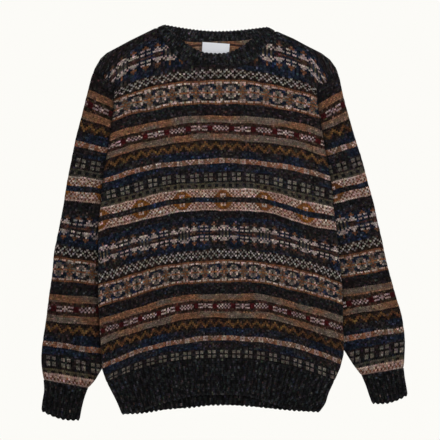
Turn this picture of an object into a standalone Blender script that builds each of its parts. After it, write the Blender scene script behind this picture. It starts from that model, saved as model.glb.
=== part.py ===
"""Fair isle jumper, laid flat on its back with both sleeves tucked behind the body.

Every piece that is knitted or sewn is its own solid: front, back, two sleeves, two
cuffs, the two hem ribs, the neckband and the neck label. Each is a wall of knitted
cloth. Its outer surface is a grid of points: the outline gives their place from
above, and the distance to the nearest folded edge gives their height, because the
cloth turns over a fold as a half circle. Moving the grid inwards by the cloth's
thickness gives the inner surface, and ribs are raised in the outer points alone.

Sizes in the tables and constants are millimetres, with the origin at the middle of
the jumper's outline on the floor, +Y towards the neck and +Z up.
"""
import bpy
import numpy as np

# ---- driving sizes, in millimetres ---------------------------------------------
MM = 0.001
CLOTH = 3.0                 # thickness of the knitted wall
LAYER_GAP = 1.4             # air between two layers that lie on each other
SEAM_GAP = 0.3              # between two pieces at a seam
FOLD_RADIUS = CLOTH + LAYER_GAP / 2
FLAT_TUBE = 2 * FOLD_RADIUS # a folded double layer
REST_GAP = 0.5              # between the tucked sleeve and the body on it

RIB_RAISE = 0.9             # height of a rib over the plain cloth
HEM_RIBS = 42               # ribs across the front hem
CUFF_RIBS = 8               # ribs across the top of a cuff
NECK_RIBS = 30              # ribs along the front of the neckband, a multiple of NECK_STEPS
BOTTOM_BOW = 6.5            # how far a cuff's end bows out at its middle

TUCK_START = -14.0          # height where a sleeve has dived under the body
TUCK_MARGIN = 8.0           # how far past the sleeve's hidden fold the body stays up
LIFT_START = 68.0           # height where the body begins to rise over the sleeve
LIFT_END = -268.0           # height below which the body sinks back to the floor
LIFT_FADE = 66.0            # how far below that it touches the floor
EASE = 56.0                 # width over which the body sinks beside the sleeve
SEAM_EASE = 46.0            # width over which a sleeve sinks beside the armhole

FRONT_PUFF = 2.6            # height of the softest bulge between front and back
SLEEVE_PUFF = 2.4           # the same inside a sleeve
PUFF_EASE = 34.0            # width over which a bulge rises from a fold or seam
HEM_FLAT = -345.0           # height where the front's bulges have sunk to nothing
HEM_FULL = -280.0           # height above which they are whole
NECK_PUFF = 2.2             # how far the front neck stands off the back
NECK_PUFF_Y = 300.0         # height where it stands off most
NECK_PUFF_WIDE = 62.0       # half the width that stands off
NECK_PUFF_TALL = 46.0       # half the height that stands off

LABEL_SIZE = (49.0, 26.0, 0.6)
LABEL_MIDDLE = (-16.0, 310.0)
LABEL_TURN = -4.0           # degrees

# ---- outlines, in millimetres: a row for each section ---------------------------
# side of the body, from the rib's top up to the underarm: left x, left y, right x, right y
SIDE = np.array([
    (-212, -287, 198, -284),
    (-220, -264, 210, -255),
    (-222, -233, 215, -231),
    (-224, -194, 213, -190),
    (-227, -140, 213, -140),
    (-227, -86, 209, -86),
    (-227, -40, 204, -40),
    (-227, -10, 201, -10),
    (-226, 14, 199, 14),
], float)

# armhole seam, from above the underarm up to its corner: the same columns
ARMHOLE = np.array([
    (-222, 51, 194, 58),
    (-217, 94, 187, 102),
    (-209, 134, 181, 130),
    (-204, 174, 175, 170),
    (-200, 199, 170, 194),
    (-199, 220, 167, 219),
    (-197, 248, 166, 242),
], float)

# side of the hem rib, from the rib's top down to the hem's corner: the same columns
HEM_SIDE = np.array([
    (-212, -287, 198, -284),
    (-204, -303, 187, -309),
    (-195, -321, 182, -325),
    (-185, -345, 171, -341),
], float)

# shoulder line, from the shoulder's tip to the neck corner: the same columns
SHOULDER = np.array([
    (-237, 271, 206, 266),
    (-230, 283, 200, 279),
    (-223, 295, 190, 293),
    (-212, 305, 174, 305),
    (-195, 314, 150, 317),
    (-169, 328, 124, 331),
    (-122, 351, 92, 345),
], float)

# curves across the body, left to right: x, y
RIB_TOP = np.array([(-212, -287), (-179, -273), (-134, -258), (-71, -248), (-8, -245),
                    (64, -248), (118, -258), (163, -272), (198, -284)], float)
HEM_FRONT_EDGE = np.array([(-185, -345), (-150, -340), (-120, -328), (-89, -319),
                           (-58, -312), (-8, -310), (39, -312), (68, -320),
                           (119, -336), (171, -341)], float)
HEM_BACK_EDGE = np.array([(-185, -345), (-149, -343), (-109, -337), (-63, -333),
                          (-26, -329), (37, -330), (78, -334), (119, -338),
                          (171, -341)], float)
NECK_FRONT_SEAM = np.array([(-122, 351), (-110, 329), (-99, 313), (-86, 298),
                            (-64, 285), (-17, 284), (39, 285), (52, 292), (68, 309),
                            (81, 327), (92, 345)], float)
NECK_FRONT_EDGE = np.array([(-109, 356), (-87, 338), (-66, 320), (-41, 307),
                            (-17, 304), (8, 306), (33, 318), (56, 336),
                            (78, 352)], float)
NECK_BACK_SEAM = np.array([(-122, 351), (-98, 336), (-73, 327), (-17, 326), (42, 329),
                           (68, 335), (92, 345)], float)
NECK_BACK_EDGE = np.array([(-109, 356), (-87, 352), (-62, 348), (-17, 344), (28, 346),
                           (55, 349), (78, 352)], float)

# sleeve below the underarm, down to the cuff: outer x, outer y, inner x, inner y
SLEEVE_BELOW = {
    "left": np.array([
        (-296, 1, -227.5, -8),
        (-301, -24, -213, -37),
        (-307, -55, -194, -71),
        (-310, -89, -186, -107),
        (-316, -132, -188, -150),
        (-321, -172, -195, -190),
        (-327, -212, -206, -230),
        (-330, -248, -221, -264),
        (-328, -267, -233, -284),
        (-326, -283, -245, -298),
    ], float),
    "right": np.array([
        (274, 10, 201.4, -8),
        (282, -24, 190, -37),
        (290, -62, 174, -71),
        (298, -94, 166, -107),
        (310, -137, 168, -147),
        (319, -166, 177, -179),
        (323, -192, 195, -210),
        (325, -213, 216, -231),
        (324, -240, 231, -255),
        (323, -262, 246, -275),
    ], float),
}
# sleeve beside the armhole, from the shoulder's tip down to the underarm: outer x, y
SLEEVE_CAP = {
    "left": np.array([(-237, 271), (-242, 253), (-248, 230), (-256, 197), (-267, 156),
                      (-276, 112), (-285, 66), (-292, 21)], float),
    "right": np.array([(206, 266), (211, 242), (217, 216), (226, 184), (237, 147),
                       (247, 116), (258, 74), (270, 30)], float),
}
# cuff, from the sleeve's end to its open end: outer x, outer y, inner x, inner y
CUFF = {
    "left": np.array([(-326, -283, -245, -298), (-325, -302, -251, -314),
                      (-328, -321, -256, -333), (-330, -338, -260, -355)], float),
    "right": np.array([(323, -262, 246, -275), (325, -280, 254, -294),
                       (328, -297, 260, -312), (330, -310, 265, -325)], float),
}
# soft bulges between front and back, and in the sleeves: x, y, half length,
# half width, turn in degrees, share of the puff (negative for a trough)
BULGES = [
    (-40, 180, 150, 95, 10, 0.75),
    (70, 60, 190, 80, 82, 0.80),
    (-110, -40, 170, 70, 96, 0.85),
    (20, -170, 190, 70, 4, 0.70),
    (118, -225, 60, 10, 80, -0.55),
    (-150, 120, 120, 14, 60, -0.45),
    (120, 140, 110, 14, 118, -0.45),
    (-20, -60, 150, 16, 20, -0.35),
    (-245, 150, 120, 34, 76, 0.90),
    (-270, -60, 110, 36, 84, 0.95),
    (-285, -215, 70, 34, 88, 0.90),
    (-262, 30, 46, 9, 160, -0.50),
    (212, 150, 120, 34, 104, 0.90),
    (252, -60, 110, 38, 100, 0.95),
    (290, -205, 60, 34, 96, 0.90),
    (236, 25, 46, 9, 18, -0.50),
]

# steps across a fold, from its edge to where the cloth lies flat, as angles in degrees
FOLD_STEPS = (0.0, 38.0, 68.0, 90.0)
# further columns beside a body's fold, where the cloth climbs over the tucked sleeve
SIDE_STEPS = (14.0, 28.0, 43.0, 59.0, 77.0, 97.0)
NECK_STEPS = 10             # pieces of the neck seam on a panel
SIDE_ROWS = 13              # rows from the rib's top to the underarm
SLEEVE_STEPS = 9            # steps across a sleeve's layer, between its folds
HEM_ROWS = 4                # rows of points in a hem rib
HEM_BACK_STEPS = 8          # steps across the back's hem rib, between its climbs


# ---- curves and distances ------------------------------------------------------
def smooth(low, high, value):
    """0 below low, 1 above high, and a smooth step between them."""
    share = np.clip((value - low) / (high - low), 0.0, 1.0)
    return share * share * (3.0 - 2.0 * share)


def along(points, shares):
    """Points at the given shares (0 to 1) of a smooth curve through the points.

    Cubic pieces run from point to point, and the slope at each is that of the line
    between its two neighbours, with the distance between points as the parameter.
    """
    points = np.asarray(points, float)
    steps = np.linalg.norm(np.diff(points, axis=0), axis=1)
    place = np.concatenate([[0.0], np.cumsum(steps)])
    slopes = np.gradient(points, place, axis=0)
    wanted = np.clip(np.asarray(shares, float), 0.0, 1.0) * place[-1]
    piece = np.clip(np.searchsorted(place, wanted, side="right") - 1, 0, len(steps) - 1)
    span = steps[piece][:, None]
    t = ((wanted - place[piece]) / steps[piece])[:, None]
    start, end = points[piece], points[piece + 1]
    return ((2 * t**3 - 3 * t**2 + 1) * start + (t**3 - 2 * t**2 + t) * span * slopes[piece]
            + (3 * t**2 - 2 * t**3) * end + (t**3 - t**2) * span * slopes[piece + 1])


def length(points):
    """The length of a line of points."""
    return float(np.linalg.norm(np.diff(points, axis=0), axis=1).sum())


def shifted(points, amount):
    """The line of points moved to its left by amount, with mitred corners."""
    runs = np.diff(points, axis=0)
    runs /= np.linalg.norm(runs, axis=1)[:, None]
    sides = np.column_stack([-runs[:, 1], runs[:, 0]])
    normals = np.vstack([sides[:1], sides[:-1] + sides[1:], sides[-1:]])
    normals /= np.linalg.norm(normals, axis=1)[:, None]
    share = np.einsum("ij,ij->i", normals, np.vstack([sides[:1], sides]))
    return points + amount * normals / np.maximum(share, 0.5)[:, None]


def on_line(points, shares):
    """Points at the given shares of a line of straight runs."""
    steps = np.linalg.norm(np.diff(points, axis=0), axis=1)
    place = np.concatenate([[0.0], np.cumsum(steps)]) / steps.sum()
    return np.column_stack([np.interp(shares, place, points[:, 0]),
                            np.interp(shares, place, points[:, 1])])


def line_distance(xy, line):
    """Distance from each point of a grid to a line of straight runs."""
    best = np.full(xy.shape[:-1], np.inf)
    for start, end in zip(line[:-1], line[1:]):
        run = end - start
        share = np.clip((xy - start) @ run / (run @ run), 0.0, 1.0)
        offset = xy - (start + share[..., None] * run)
        best = np.minimum(best, np.hypot(offset[..., 0], offset[..., 1]))
    return best


def end_distance(xy):
    """Distance along each row from its nearer end, and the unit way from that end."""
    steps = np.diff(xy, axis=1)
    sizes = np.linalg.norm(steps, axis=2)
    place = np.concatenate([np.zeros((len(xy), 1)), np.cumsum(sizes, axis=1)], axis=1)
    way = steps / sizes[..., None]
    half = xy.shape[1] // 2
    way = np.concatenate([way[:, :half], -way[:, half - 1:]], axis=1)
    return place, place[:, -1:] - place, way


def boundary(side):
    """The body's edge on one side, from the rib's top to the shoulder's tip."""
    first = 0 if side == "left" else 2
    lower = along(SIDE[:, first:first + 2], np.linspace(0.0, 1.0, SIDE_ROWS))
    return np.vstack([lower, np.vstack([ARMHOLE, SHOULDER[:1]])[:, first:first + 2]])


def armhole_seam(side):
    """The armhole seam, from the underarm to the shoulder's tip."""
    return boundary(side)[SIDE_ROWS - 1:]


def side_fold(side):
    """The folded edge of the body below the underarm, down to the hem's corner."""
    first = 0 if side == "left" else 2
    return np.vstack([boundary(side)[SIDE_ROWS - 1::-1], HEM_SIDE[1:, first:first + 2]])


# ---- heights -------------------------------------------------------------------
def side_x(side, y):
    """The body's edge on one side at the height y."""
    edge = np.vstack([side_fold(side)[::-1], armhole_seam(side)[1:-1]])
    return np.interp(y, edge[:, 1], edge[:, 0])


def tucked_x(side, y):
    """The hidden inner fold of a sleeve at the height y, or the body's edge."""
    rows = SLEEVE_BELOW[side][:, 2:][::-1]
    inner = np.interp(y, rows[:, 1], rows[:, 0])
    edge = side_x(side, y)
    return np.maximum(inner, edge) if side == "left" else np.minimum(inner, edge)


def body_lift(x, y):
    """How far the tucked sleeves raise the back off the floor at a point.

    Full height over the sleeve, and a smooth step down to the floor over EASE
    beside it, above the underarm and below the place where the sleeve leaves.
    """
    down = smooth(LIFT_START, TUCK_START, y) * smooth(LIFT_END - LIFT_FADE, LIFT_END, y)
    left = 1.0 - smooth(TUCK_MARGIN, TUCK_MARGIN + EASE, x - tucked_x("left", y))
    right = 1.0 - smooth(TUCK_MARGIN, TUCK_MARGIN + EASE, tucked_x("right", y) - x)
    return (FLAT_TUBE + REST_GAP) * down * np.maximum(left, right)


def sleeve_lift(side, x, y):
    """How far the sleeve's layers rise off the floor beside the armhole seam."""
    edge = side_x(side, y)
    away = np.abs(x - edge)
    level = body_lift(edge, np.maximum(y, SIDE[-1, 1]))
    return level * (1.0 - smooth(0.0, SEAM_EASE, away)) * smooth(TUCK_START, SIDE[-1, 1], y)


def bulge(x, y):
    """Share of the puff at a point: round-topped bulges less the soft troughs."""
    total = np.zeros_like(x)
    for centre_x, centre_y, half_long, half_wide, turn, share in BULGES:
        angle = np.radians(turn)
        run = (x - centre_x) * np.cos(angle) + (y - centre_y) * np.sin(angle)
        rise = (y - centre_y) * np.cos(angle) - (x - centre_x) * np.sin(angle)
        total = total + share * np.exp(-((run / half_long) ** 2 + (rise / half_wide) ** 2))
    return np.clip(total, 0.0, 1.2)


def quarter(distance):
    """Height above the middle of a fold at a distance from its edge: a quarter circle."""
    inside = np.clip(1.0 - distance / FOLD_RADIUS, 0.0, 1.0)
    return FOLD_RADIUS * np.sqrt(1.0 - inside * inside)


def layer(xy, distance, way, middle, puff, upper):
    """Outer and inner points of one layer of cloth, from its points seen from above.

    distance is that to the nearest folded edge and way the unit step away from it.
    The outer point stands a quarter circle above (or below) the fold's middle
    height, and the inner one lies a cloth's thickness behind it along the normal.
    """
    turn = np.clip(1.0 - distance / FOLD_RADIUS, 0.0, 1.0)
    rise = np.maximum(quarter(distance), SEAM_GAP / 2)
    sign = 1.0 if upper else -1.0
    outer = np.dstack([xy, middle + sign * rise + puff])
    stand = np.sqrt(1.0 - turn * turn)
    inner = outer + CLOTH * np.dstack([way * turn[..., None], -sign * stand])
    return outer, inner


# ---- grids ---------------------------------------------------------------------
def patch(bottom, top, left, right):
    """A grid of points stretched between four edges.

    Straight lines run from the bottom edge to the top edge, and the way in which a
    side differs from its own straight line is added, fading with the fourth power
    of the distance from that side.
    """
    def shares(line):
        steps = np.linalg.norm(np.diff(line, axis=0), axis=1)
        return np.concatenate([[0.0], np.cumsum(steps)]) / steps.sum()

    row = np.linspace(0.0, 1.0, len(left))[:, None]
    column = np.linspace(0.0, 1.0, len(bottom))[None, :]
    u = ((1 - row) * shares(bottom)[None, :] + row * shares(top)[None, :])[..., None]
    rise_left, rise_right = shares(left)[:, None], shares(right)[:, None]
    v = ((1 - column) * rise_left + column * rise_right)[..., None]
    bend_left = left - (1 - rise_left) * bottom[0] - rise_left * top[0]
    bend_right = right - (1 - rise_right) * bottom[-1] - rise_right * top[-1]
    return ((1 - v) * bottom[None] + v * top[None]
            + (1 - u) ** 4 * bend_left[:, None] + u ** 4 * bend_right[:, None])


def fold_places():
    """Distances of the close steps beside a fold."""
    return FOLD_RADIUS * (1.0 - np.cos(np.radians(FOLD_STEPS)))


def fold_shares(total, middle):
    """Shares along a line of the given length, with close steps beside both folds."""
    near = fold_places() / total
    inner = np.linspace(near[-1], 1.0 - near[-1], middle + 1)[1:-1]
    return np.concatenate([near, inner, 1.0 - near[::-1]])


def panel_shares(total, past_side):
    """Shares along the body's width: both folds, the climbs beside them, the middle."""
    side = np.concatenate([fold_places(), SIDE_STEPS]) / total
    inner = np.linspace(side[-1], 1.0 - side[-1], past_side + 1)[1:-1]
    return np.concatenate([side, inner, 1.0 - side[::-1]])


def wall(name, outer, inner, material, ring=False):
    """A closed solid between two grids of points, joined along their edges.

    The grids have the same rows and columns. With ring set, the last column meets
    the first, and only the two ends are open.
    """
    rows, columns = outer.shape[:2]
    points = np.concatenate([outer.reshape(-1, 3), inner.reshape(-1, 3)]) * MM
    index = np.arange(rows * columns).reshape(rows, columns)
    if ring:
        index = np.column_stack([index, index[:, :1]])
    behind = index + rows * columns
    faces = []

    def quads(a, b, c, d):
        faces.extend(np.stack([a, b, c, d], axis=-1).reshape(-1, 4).tolist())

    quads(index[:-1, :-1], index[:-1, 1:], index[1:, 1:], index[1:, :-1])
    quads(behind[:-1, :-1], behind[1:, :-1], behind[1:, 1:], behind[:-1, 1:])
    quads(index[0, 1:], index[0, :-1], behind[0, :-1], behind[0, 1:])
    quads(index[-1, :-1], index[-1, 1:], behind[-1, 1:], behind[-1, :-1])
    if not ring:
        quads(index[:-1, 0], index[1:, 0], behind[1:, 0], behind[:-1, 0])
        quads(index[1:, -1], index[:-1, -1], behind[:-1, -1], behind[1:, -1])
    mesh = bpy.data.meshes.new(name)
    mesh.from_pydata(points.tolist(), [], faces)
    mesh.validate()
    mesh.materials.append(material)
    piece = bpy.data.objects.new(name, mesh)
    collection.objects.link(piece)
    mesh.shade_smooth()
    mesh.set_sharp_from_angle(angle=np.radians(50))
    return piece


def yarn(name, colour, roughness=0.9):
    """A plain woollen material."""
    material = bpy.data.materials.new(name)
    material.use_nodes = True
    shader = material.node_tree.nodes["Principled BSDF"]
    shader.inputs["Base Color"].default_value = (*colour, 1.0)
    shader.inputs["Roughness"].default_value = roughness
    shader.inputs["Metallic"].default_value = 0.0
    material.diffuse_color = (*colour, 1.0)
    return material


# ---- pieces --------------------------------------------------------------------
def shoulder_points(side):
    """The shoulder line's points, close together near its tip."""
    line = SHOULDER[:, :2] if side == "left" else SHOULDER[:, 2:]
    total = length(line)
    near = np.concatenate([fold_places(), SIDE_STEPS]) / total
    middle = (1.0 + near[-1]) / 2
    return along(line, np.concatenate([near, [middle, 1.0]]))


def neck_line(seam):
    """A neck seam as the straight runs that the panel and the neckband share."""
    return along(seam, np.linspace(0.0, 1.0, NECK_STEPS + 1))


def rib_line():
    """The rib's top as the straight runs that the panels and the ribs share."""
    columns = 2 * len(shoulder_points("left")) + NECK_STEPS - 1
    known = 2 * (len(FOLD_STEPS) + len(SIDE_STEPS))
    return along(RIB_TOP, panel_shares(length(RIB_TOP), columns - known + 1))


def top_edge(neck_seam):
    """A panel's top edge: one shoulder, the neck seam and the other shoulder."""
    neck = shifted(neck_line(neck_seam), -SEAM_GAP / 2)
    return np.vstack([shoulder_points("left"), neck[1:-1], shoulder_points("right")[::-1]])


def body_panel(name, neck_seam, upper, material):
    """Front or back: a patch between the rib, the sides, the shoulders and the neck.

    Both start from the front's patch, so that their layers run side by side, and
    the back's is then raised to its own neck seam near the top.
    """
    left = boundary("left")
    right = boundary("right")
    armhole = SIDE_ROWS
    left[armhole:] = shifted(left, -SEAM_GAP / 2)[armhole:]
    right[armhole:] = shifted(right, SEAM_GAP / 2)[armhole:]
    top = top_edge(NECK_FRONT_SEAM)
    top[0], top[-1] = left[-1], right[-1]
    bottom = shifted(rib_line(), SEAM_GAP / 2)
    left[0], right[0] = bottom[0], bottom[-1]
    left, right = near_shoulder(left), near_shoulder(right)
    xy = patch(bottom, top, left, right)
    own_top = top_edge(neck_seam)
    own_top[0], own_top[-1] = top[0], top[-1]
    share = np.linspace(0.0, 1.0, len(left)) ** 4
    xy += share[:, None, None] * (own_top - top)[None]
    from_left, from_right, way = end_distance(xy)
    side = np.minimum(from_left, from_right)
    side[armhole:] = np.inf
    shoulder = np.minimum(line_distance(xy, shoulder_points("left")),
                          line_distance(xy, shoulder_points("right")))
    down = np.diff(xy, axis=0)
    down = -np.concatenate([down, down[-1:]]) / np.linalg.norm(
        np.concatenate([down, down[-1:]]), axis=2)[..., None]
    way = np.where((shoulder < side)[..., None], down, way)
    return sheet(name, xy, np.minimum(side, shoulder), way, upper, material)


def near_shoulder(edge):
    """The edge with extra points close to its top end, for the shoulder's fold."""
    run = edge[-2] - edge[-1]
    run /= np.linalg.norm(run)
    steps = fold_places()[1:]
    return np.vstack([edge[:-1], edge[-1] + steps[::-1, None] * run, edge[-1:]])


def sheet(name, xy, distance, way, upper, material, ribs=None):
    """A panel of the body as a solid: its grid seen from above, raised into place."""
    x, y = xy[..., 0], xy[..., 1]
    puff = front_puff(x, y) if upper else np.zeros_like(x)
    middle = body_lift(x, y) + FOLD_RADIUS
    outer, inner = layer(xy, distance, way, middle, puff, upper)
    if ribs is not None:
        outer[..., 2] += ribs
    if not upper:
        outer, inner = outer[:, ::-1], inner[:, ::-1]
    return wall(name, outer, inner, material)


def front_puff(x, y):
    """How far the front stands off the back, faded at the sides and the shoulders."""
    sides = smooth(0.0, PUFF_EASE, np.minimum(x - side_x("left", y), side_x("right", y) - x))
    points = np.dstack([x, y])
    shoulders = np.minimum(line_distance(points, SHOULDER[:, :2]),
                           line_distance(points, SHOULDER[:, 2:]))
    hem = smooth(HEM_FLAT, HEM_FULL, y)
    puff = FRONT_PUFF * bulge(x, y) * sides * smooth(0.0, PUFF_EASE, shoulders) * hem
    neck_middle = (NECK_FRONT_EDGE[0, 0] + NECK_FRONT_EDGE[-1, 0]) / 2
    reach = np.exp(-((x - neck_middle) / NECK_PUFF_WIDE) ** 2
                   - ((y - NECK_PUFF_Y) / NECK_PUFF_TALL) ** 2)
    return np.maximum(puff, 0.0) + NECK_PUFF * reach


def hem_rib(name, edge, upper, material):
    """A welt of the hem, with ribs raised on the front one's outer side."""
    total = length(RIB_TOP)
    if upper:
        shares = fold_shares(total, 2 * HEM_RIBS)
    else:
        shares = panel_shares(total, HEM_BACK_STEPS)
    top = on_line(shifted(rib_line(), -SEAM_GAP / 2), shares)
    bottom = along(edge, shares)
    left = along(HEM_SIDE[::-1, :2], np.linspace(0.0, 1.0, HEM_ROWS))
    right = along(HEM_SIDE[::-1, 2:], np.linspace(0.0, 1.0, HEM_ROWS))
    left[0], right[0], left[-1], right[-1] = bottom[0], bottom[-1], top[0], top[-1]
    xy = patch(bottom, top, left, right)
    from_left, from_right, way = end_distance(xy)
    ribs = None
    if upper:
        comb = rib_comb(len(shares))
        ends = np.array([0.8] + [1.0] * (HEM_ROWS - 2) + [0.0])
        ribs = RIB_RAISE * comb[None, :] * ends[:, None]
    return sheet(name, xy, np.minimum(from_left, from_right), way, upper, material, ribs)


def rib_comb(columns):
    """1 on the crest of each rib and 0 beside it, with plain columns at both folds."""
    plain = np.zeros(len(FOLD_STEPS))
    crests = (np.arange(columns - 2 * len(plain)) + 1) % 2
    return np.concatenate([plain, crests, plain])


def tube(name, side, outer_edge, inner_edge, material, ribs=0, bow=0.0):
    """A flattened tube, open at both ends, with its seam along the inner fold.

    Each row is a section from the inner edge over the upper layer to the outer
    fold, and back along the lower layer. Above the underarm its two edges meet the
    front and the back instead of each other, so they aren't folded there.
    """
    rows = len(outer_edge)
    width = np.linalg.norm(outer_edge - inner_edge, axis=1)[:, None]
    shares = fold_shares(width.mean(), 2 * ribs if ribs else SLEEVE_STEPS)
    xy = inner_edge[:, None] + shares[None, :, None] * (outer_edge - inner_edge)[:, None]
    down = np.linspace(0.0, 1.0, rows) ** 3
    xy[..., 1] -= down[:, None] * np.sin(np.pi * shares)[None, :] * bow
    from_inner, from_outer, way = end_distance(xy)
    armhole = inner_edge[:, 1] > TUCK_START + TUCK_MARGIN
    from_inner[armhole] = np.inf
    distance = np.minimum(from_inner, from_outer)
    way[:, 0] = (outer_edge - inner_edge) / width
    x, y = xy[..., 0], xy[..., 1]
    centre = sleeve_lift(side, x, y) + FOLD_RADIUS
    still = np.zeros_like(x)
    puff = still if ribs else sleeve_puff(side, x, y, outer_edge, inner_edge)
    upper = layer(xy, distance, way, centre, puff, True)
    lower = layer(xy, distance, way, centre, still, False)
    for grid in upper:
        grid[:, -1, 2] = centre[:, -1]
    if ribs:
        ends = np.array([0.0] + [1.0] * (rows - 2) + [0.8])
        upper[0][..., 2] += RIB_RAISE * rib_comb(len(shares))[None, :] * ends[:, None]
    outer = np.concatenate([upper[0], lower[0][:, -2::-1]], axis=1)
    inner = np.concatenate([upper[1], lower[1][:, -2::-1]], axis=1)
    if side == "left":
        outer, inner = outer[::-1], inner[::-1]
    return wall(name, outer[::-1], inner[::-1], material)


def sleeve_puff(side, x, y, outer_edge, inner_edge):
    """How far a sleeve's upper layer stands off the lower one."""
    outwards = np.abs(x - np.interp(y, *falling(outer_edge)))
    inwards = np.abs(x - np.interp(y, *falling(inner_edge)))
    body = side_x(side, y) - x if side == "left" else x - side_x(side, y)
    fade = smooth(0.0, PUFF_EASE, outwards) * smooth(0.0, PUFF_EASE, inwards)
    return SLEEVE_PUFF * np.maximum(bulge(x, y), 0.0) * fade * smooth(2.0, PUFF_EASE, body)


def falling(edge):
    """The y and x columns of an edge that runs down, in the order np.interp needs."""
    order = np.argsort(edge[:, 1])
    return edge[order, 1], edge[order, 0]


def sleeve(side, material):
    """A sleeve, from the armhole seam to the cuff."""
    sign = 1.0 if side == "left" else -1.0
    edge = shifted(boundary(side), sign * SEAM_GAP / 2)
    seam = edge[:SIDE_ROWS - 2:-1]
    below = SLEEVE_BELOW[side]
    outer_edge = np.vstack([seam[:1], SLEEVE_CAP[side][1:], below[:, :2]])
    inner_edge = np.vstack([seam[1:], below[:, 2:]])
    return tube("sleeve_" + side, side, outer_edge, inner_edge, material)


def cuff(side, material):
    """A ribbed cuff, just clear of the sleeve's end."""
    rows = CUFF[side].copy()
    run = rows[0, :2] - rows[0, 2:]
    off = np.array([-run[1], run[0]]) / np.hypot(*run)
    off *= -np.sign(off[1]) * SEAM_GAP
    rows[0] += np.concatenate([off, off])
    return tube("cuff_" + side, side, rows[:, :2], rows[:, 2:], material,
                ribs=CUFF_RIBS, bow=BOTTOM_BOW)


def neckband(material):
    """The ribbed neckband: a ring that folds over at the two neck corners."""
    near = fold_places() / length(NECK_FRONT_SEAM)
    inside = np.linspace(0.0, 1.0, 2 * NECK_RIBS + 1)[1:-1]
    shares = np.concatenate([near, inside, 1.0 - near[::-1]])
    across = np.linspace(0.0, 1.0, 3)[:, None, None]

    def strip(seam, edge):
        base = shifted(neck_line(seam), SEAM_GAP / 2)
        for end, other in ((0, 0), (-1, -1)):
            fold = edge[other] - seam[end]
            base[end] = seam[end] + fold * SEAM_GAP / np.hypot(*fold)
        run = np.linspace(0.0, 1.0, len(base))
        lower = np.column_stack([np.interp(shares, run, base[:, 0]),
                                 np.interp(shares, run, base[:, 1])])
        return lower[None] * (1.0 - across) + along(edge, shares)[None] * across

    front = strip(NECK_FRONT_SEAM, NECK_FRONT_EDGE)
    back = strip(NECK_BACK_SEAM, NECK_BACK_EDGE)
    still = np.zeros(front.shape[:2])
    puff = front_puff(front[..., 0], front[..., 1])
    halves = []
    for xy, height, upper in ((front, puff, True), (back, still, False)):
        from_left, from_right, way = end_distance(xy)
        distance = np.minimum(from_left, from_right)
        halves.append(layer(xy, distance, way, still + FOLD_RADIUS, height, upper))
    upper, lower = halves
    for grid, other in zip(upper, lower):
        for end in (0, -1):
            grid[:, end, :2] = other[:, end, :2]
            grid[:, end, 2] = FOLD_RADIUS
    ends = np.array([0.0, 1.0, 0.8])
    upper[0][..., 2] += RIB_RAISE * rib_comb(len(shares))[None, :] * ends[:, None]
    outer = np.concatenate([upper[0], lower[0][:, -2:0:-1]], axis=1)
    inner = np.concatenate([upper[1], lower[1][:, -2:0:-1]], axis=1)
    return wall("neckband", outer, inner, material, ring=True)


def neck_label(material):
    """The woven label, lying on the inside of the back just below the neckband."""
    bpy.ops.mesh.primitive_cube_add(size=1.0)
    piece = bpy.context.object
    piece.name = piece.data.name = "neck_label"
    for vertex in piece.data.vertices:
        vertex.co = np.array(vertex.co) * LABEL_SIZE * MM
    piece.rotation_euler[2] = np.radians(LABEL_TURN)
    height = CLOTH + SEAM_GAP + LABEL_SIZE[2] / 2
    piece.location = np.array([*LABEL_MIDDLE, height]) * MM
    for parent in list(piece.users_collection):
        parent.objects.unlink(piece)
    collection.objects.link(piece)
    piece.data.materials.append(material)
    return piece


def clear_scene():
    """Remove every object, so that the model stands alone."""
    for item in list(bpy.data.objects):
        bpy.data.objects.remove(item, do_unlink=True)


clear_scene()
collection = bpy.data.collections.new("fair_isle_jumper")
bpy.context.scene.collection.children.link(collection)

patterned = yarn("patterned_knit", (0.115, 0.085, 0.065))
inside_out = yarn("patterned_knit_back", (0.095, 0.072, 0.058))
charcoal = yarn("charcoal_rib", (0.016, 0.017, 0.018))
woven = yarn("label_satin", (0.78, 0.80, 0.83), 0.55)

body_panel("back", NECK_BACK_SEAM, False, inside_out)
body_panel("front", NECK_FRONT_SEAM, True, patterned)
hem_rib("hem_back", HEM_BACK_EDGE, False, charcoal)
hem_rib("hem_front", HEM_FRONT_EDGE, True, charcoal)
for hand in ("left", "right"):
    sleeve(hand, patterned)
    cuff(hand, charcoal)
neckband(charcoal)
neck_label(woven)
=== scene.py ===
"""Fair isle jumper: the finish of every knitted and sewn piece.

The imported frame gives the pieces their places. Each one is knitted here as a thin
closed shell of cloth on its solid's form: front, back and sleeves stitch by stitch
from a chart of bands, the hem, cuffs and neckband as ribs, and the label plain.

Tables and shape functions work in millimetres, with the origin at the middle of the
jumper's outline on the floor, +Y towards the neck and +Z up. Meshes are in metres.
"""

import bpy
import numpy as np
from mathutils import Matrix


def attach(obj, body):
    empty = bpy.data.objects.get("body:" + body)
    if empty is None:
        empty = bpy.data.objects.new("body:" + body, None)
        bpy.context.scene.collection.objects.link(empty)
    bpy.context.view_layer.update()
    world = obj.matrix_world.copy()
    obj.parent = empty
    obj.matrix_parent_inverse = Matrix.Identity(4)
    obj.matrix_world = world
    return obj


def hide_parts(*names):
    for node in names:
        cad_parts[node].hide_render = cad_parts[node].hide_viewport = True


bl_info = {
    "name": "Fair Isle Jumper",
    "version": (1, 0, 0),
    "blender": (4, 5, 0),
    "location": "3D View > Sidebar > Jumper",
    "description": "Knits a fair isle jumper, laid flat on its back, on its packed frame",
    "category": "Add Mesh",
}

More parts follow.
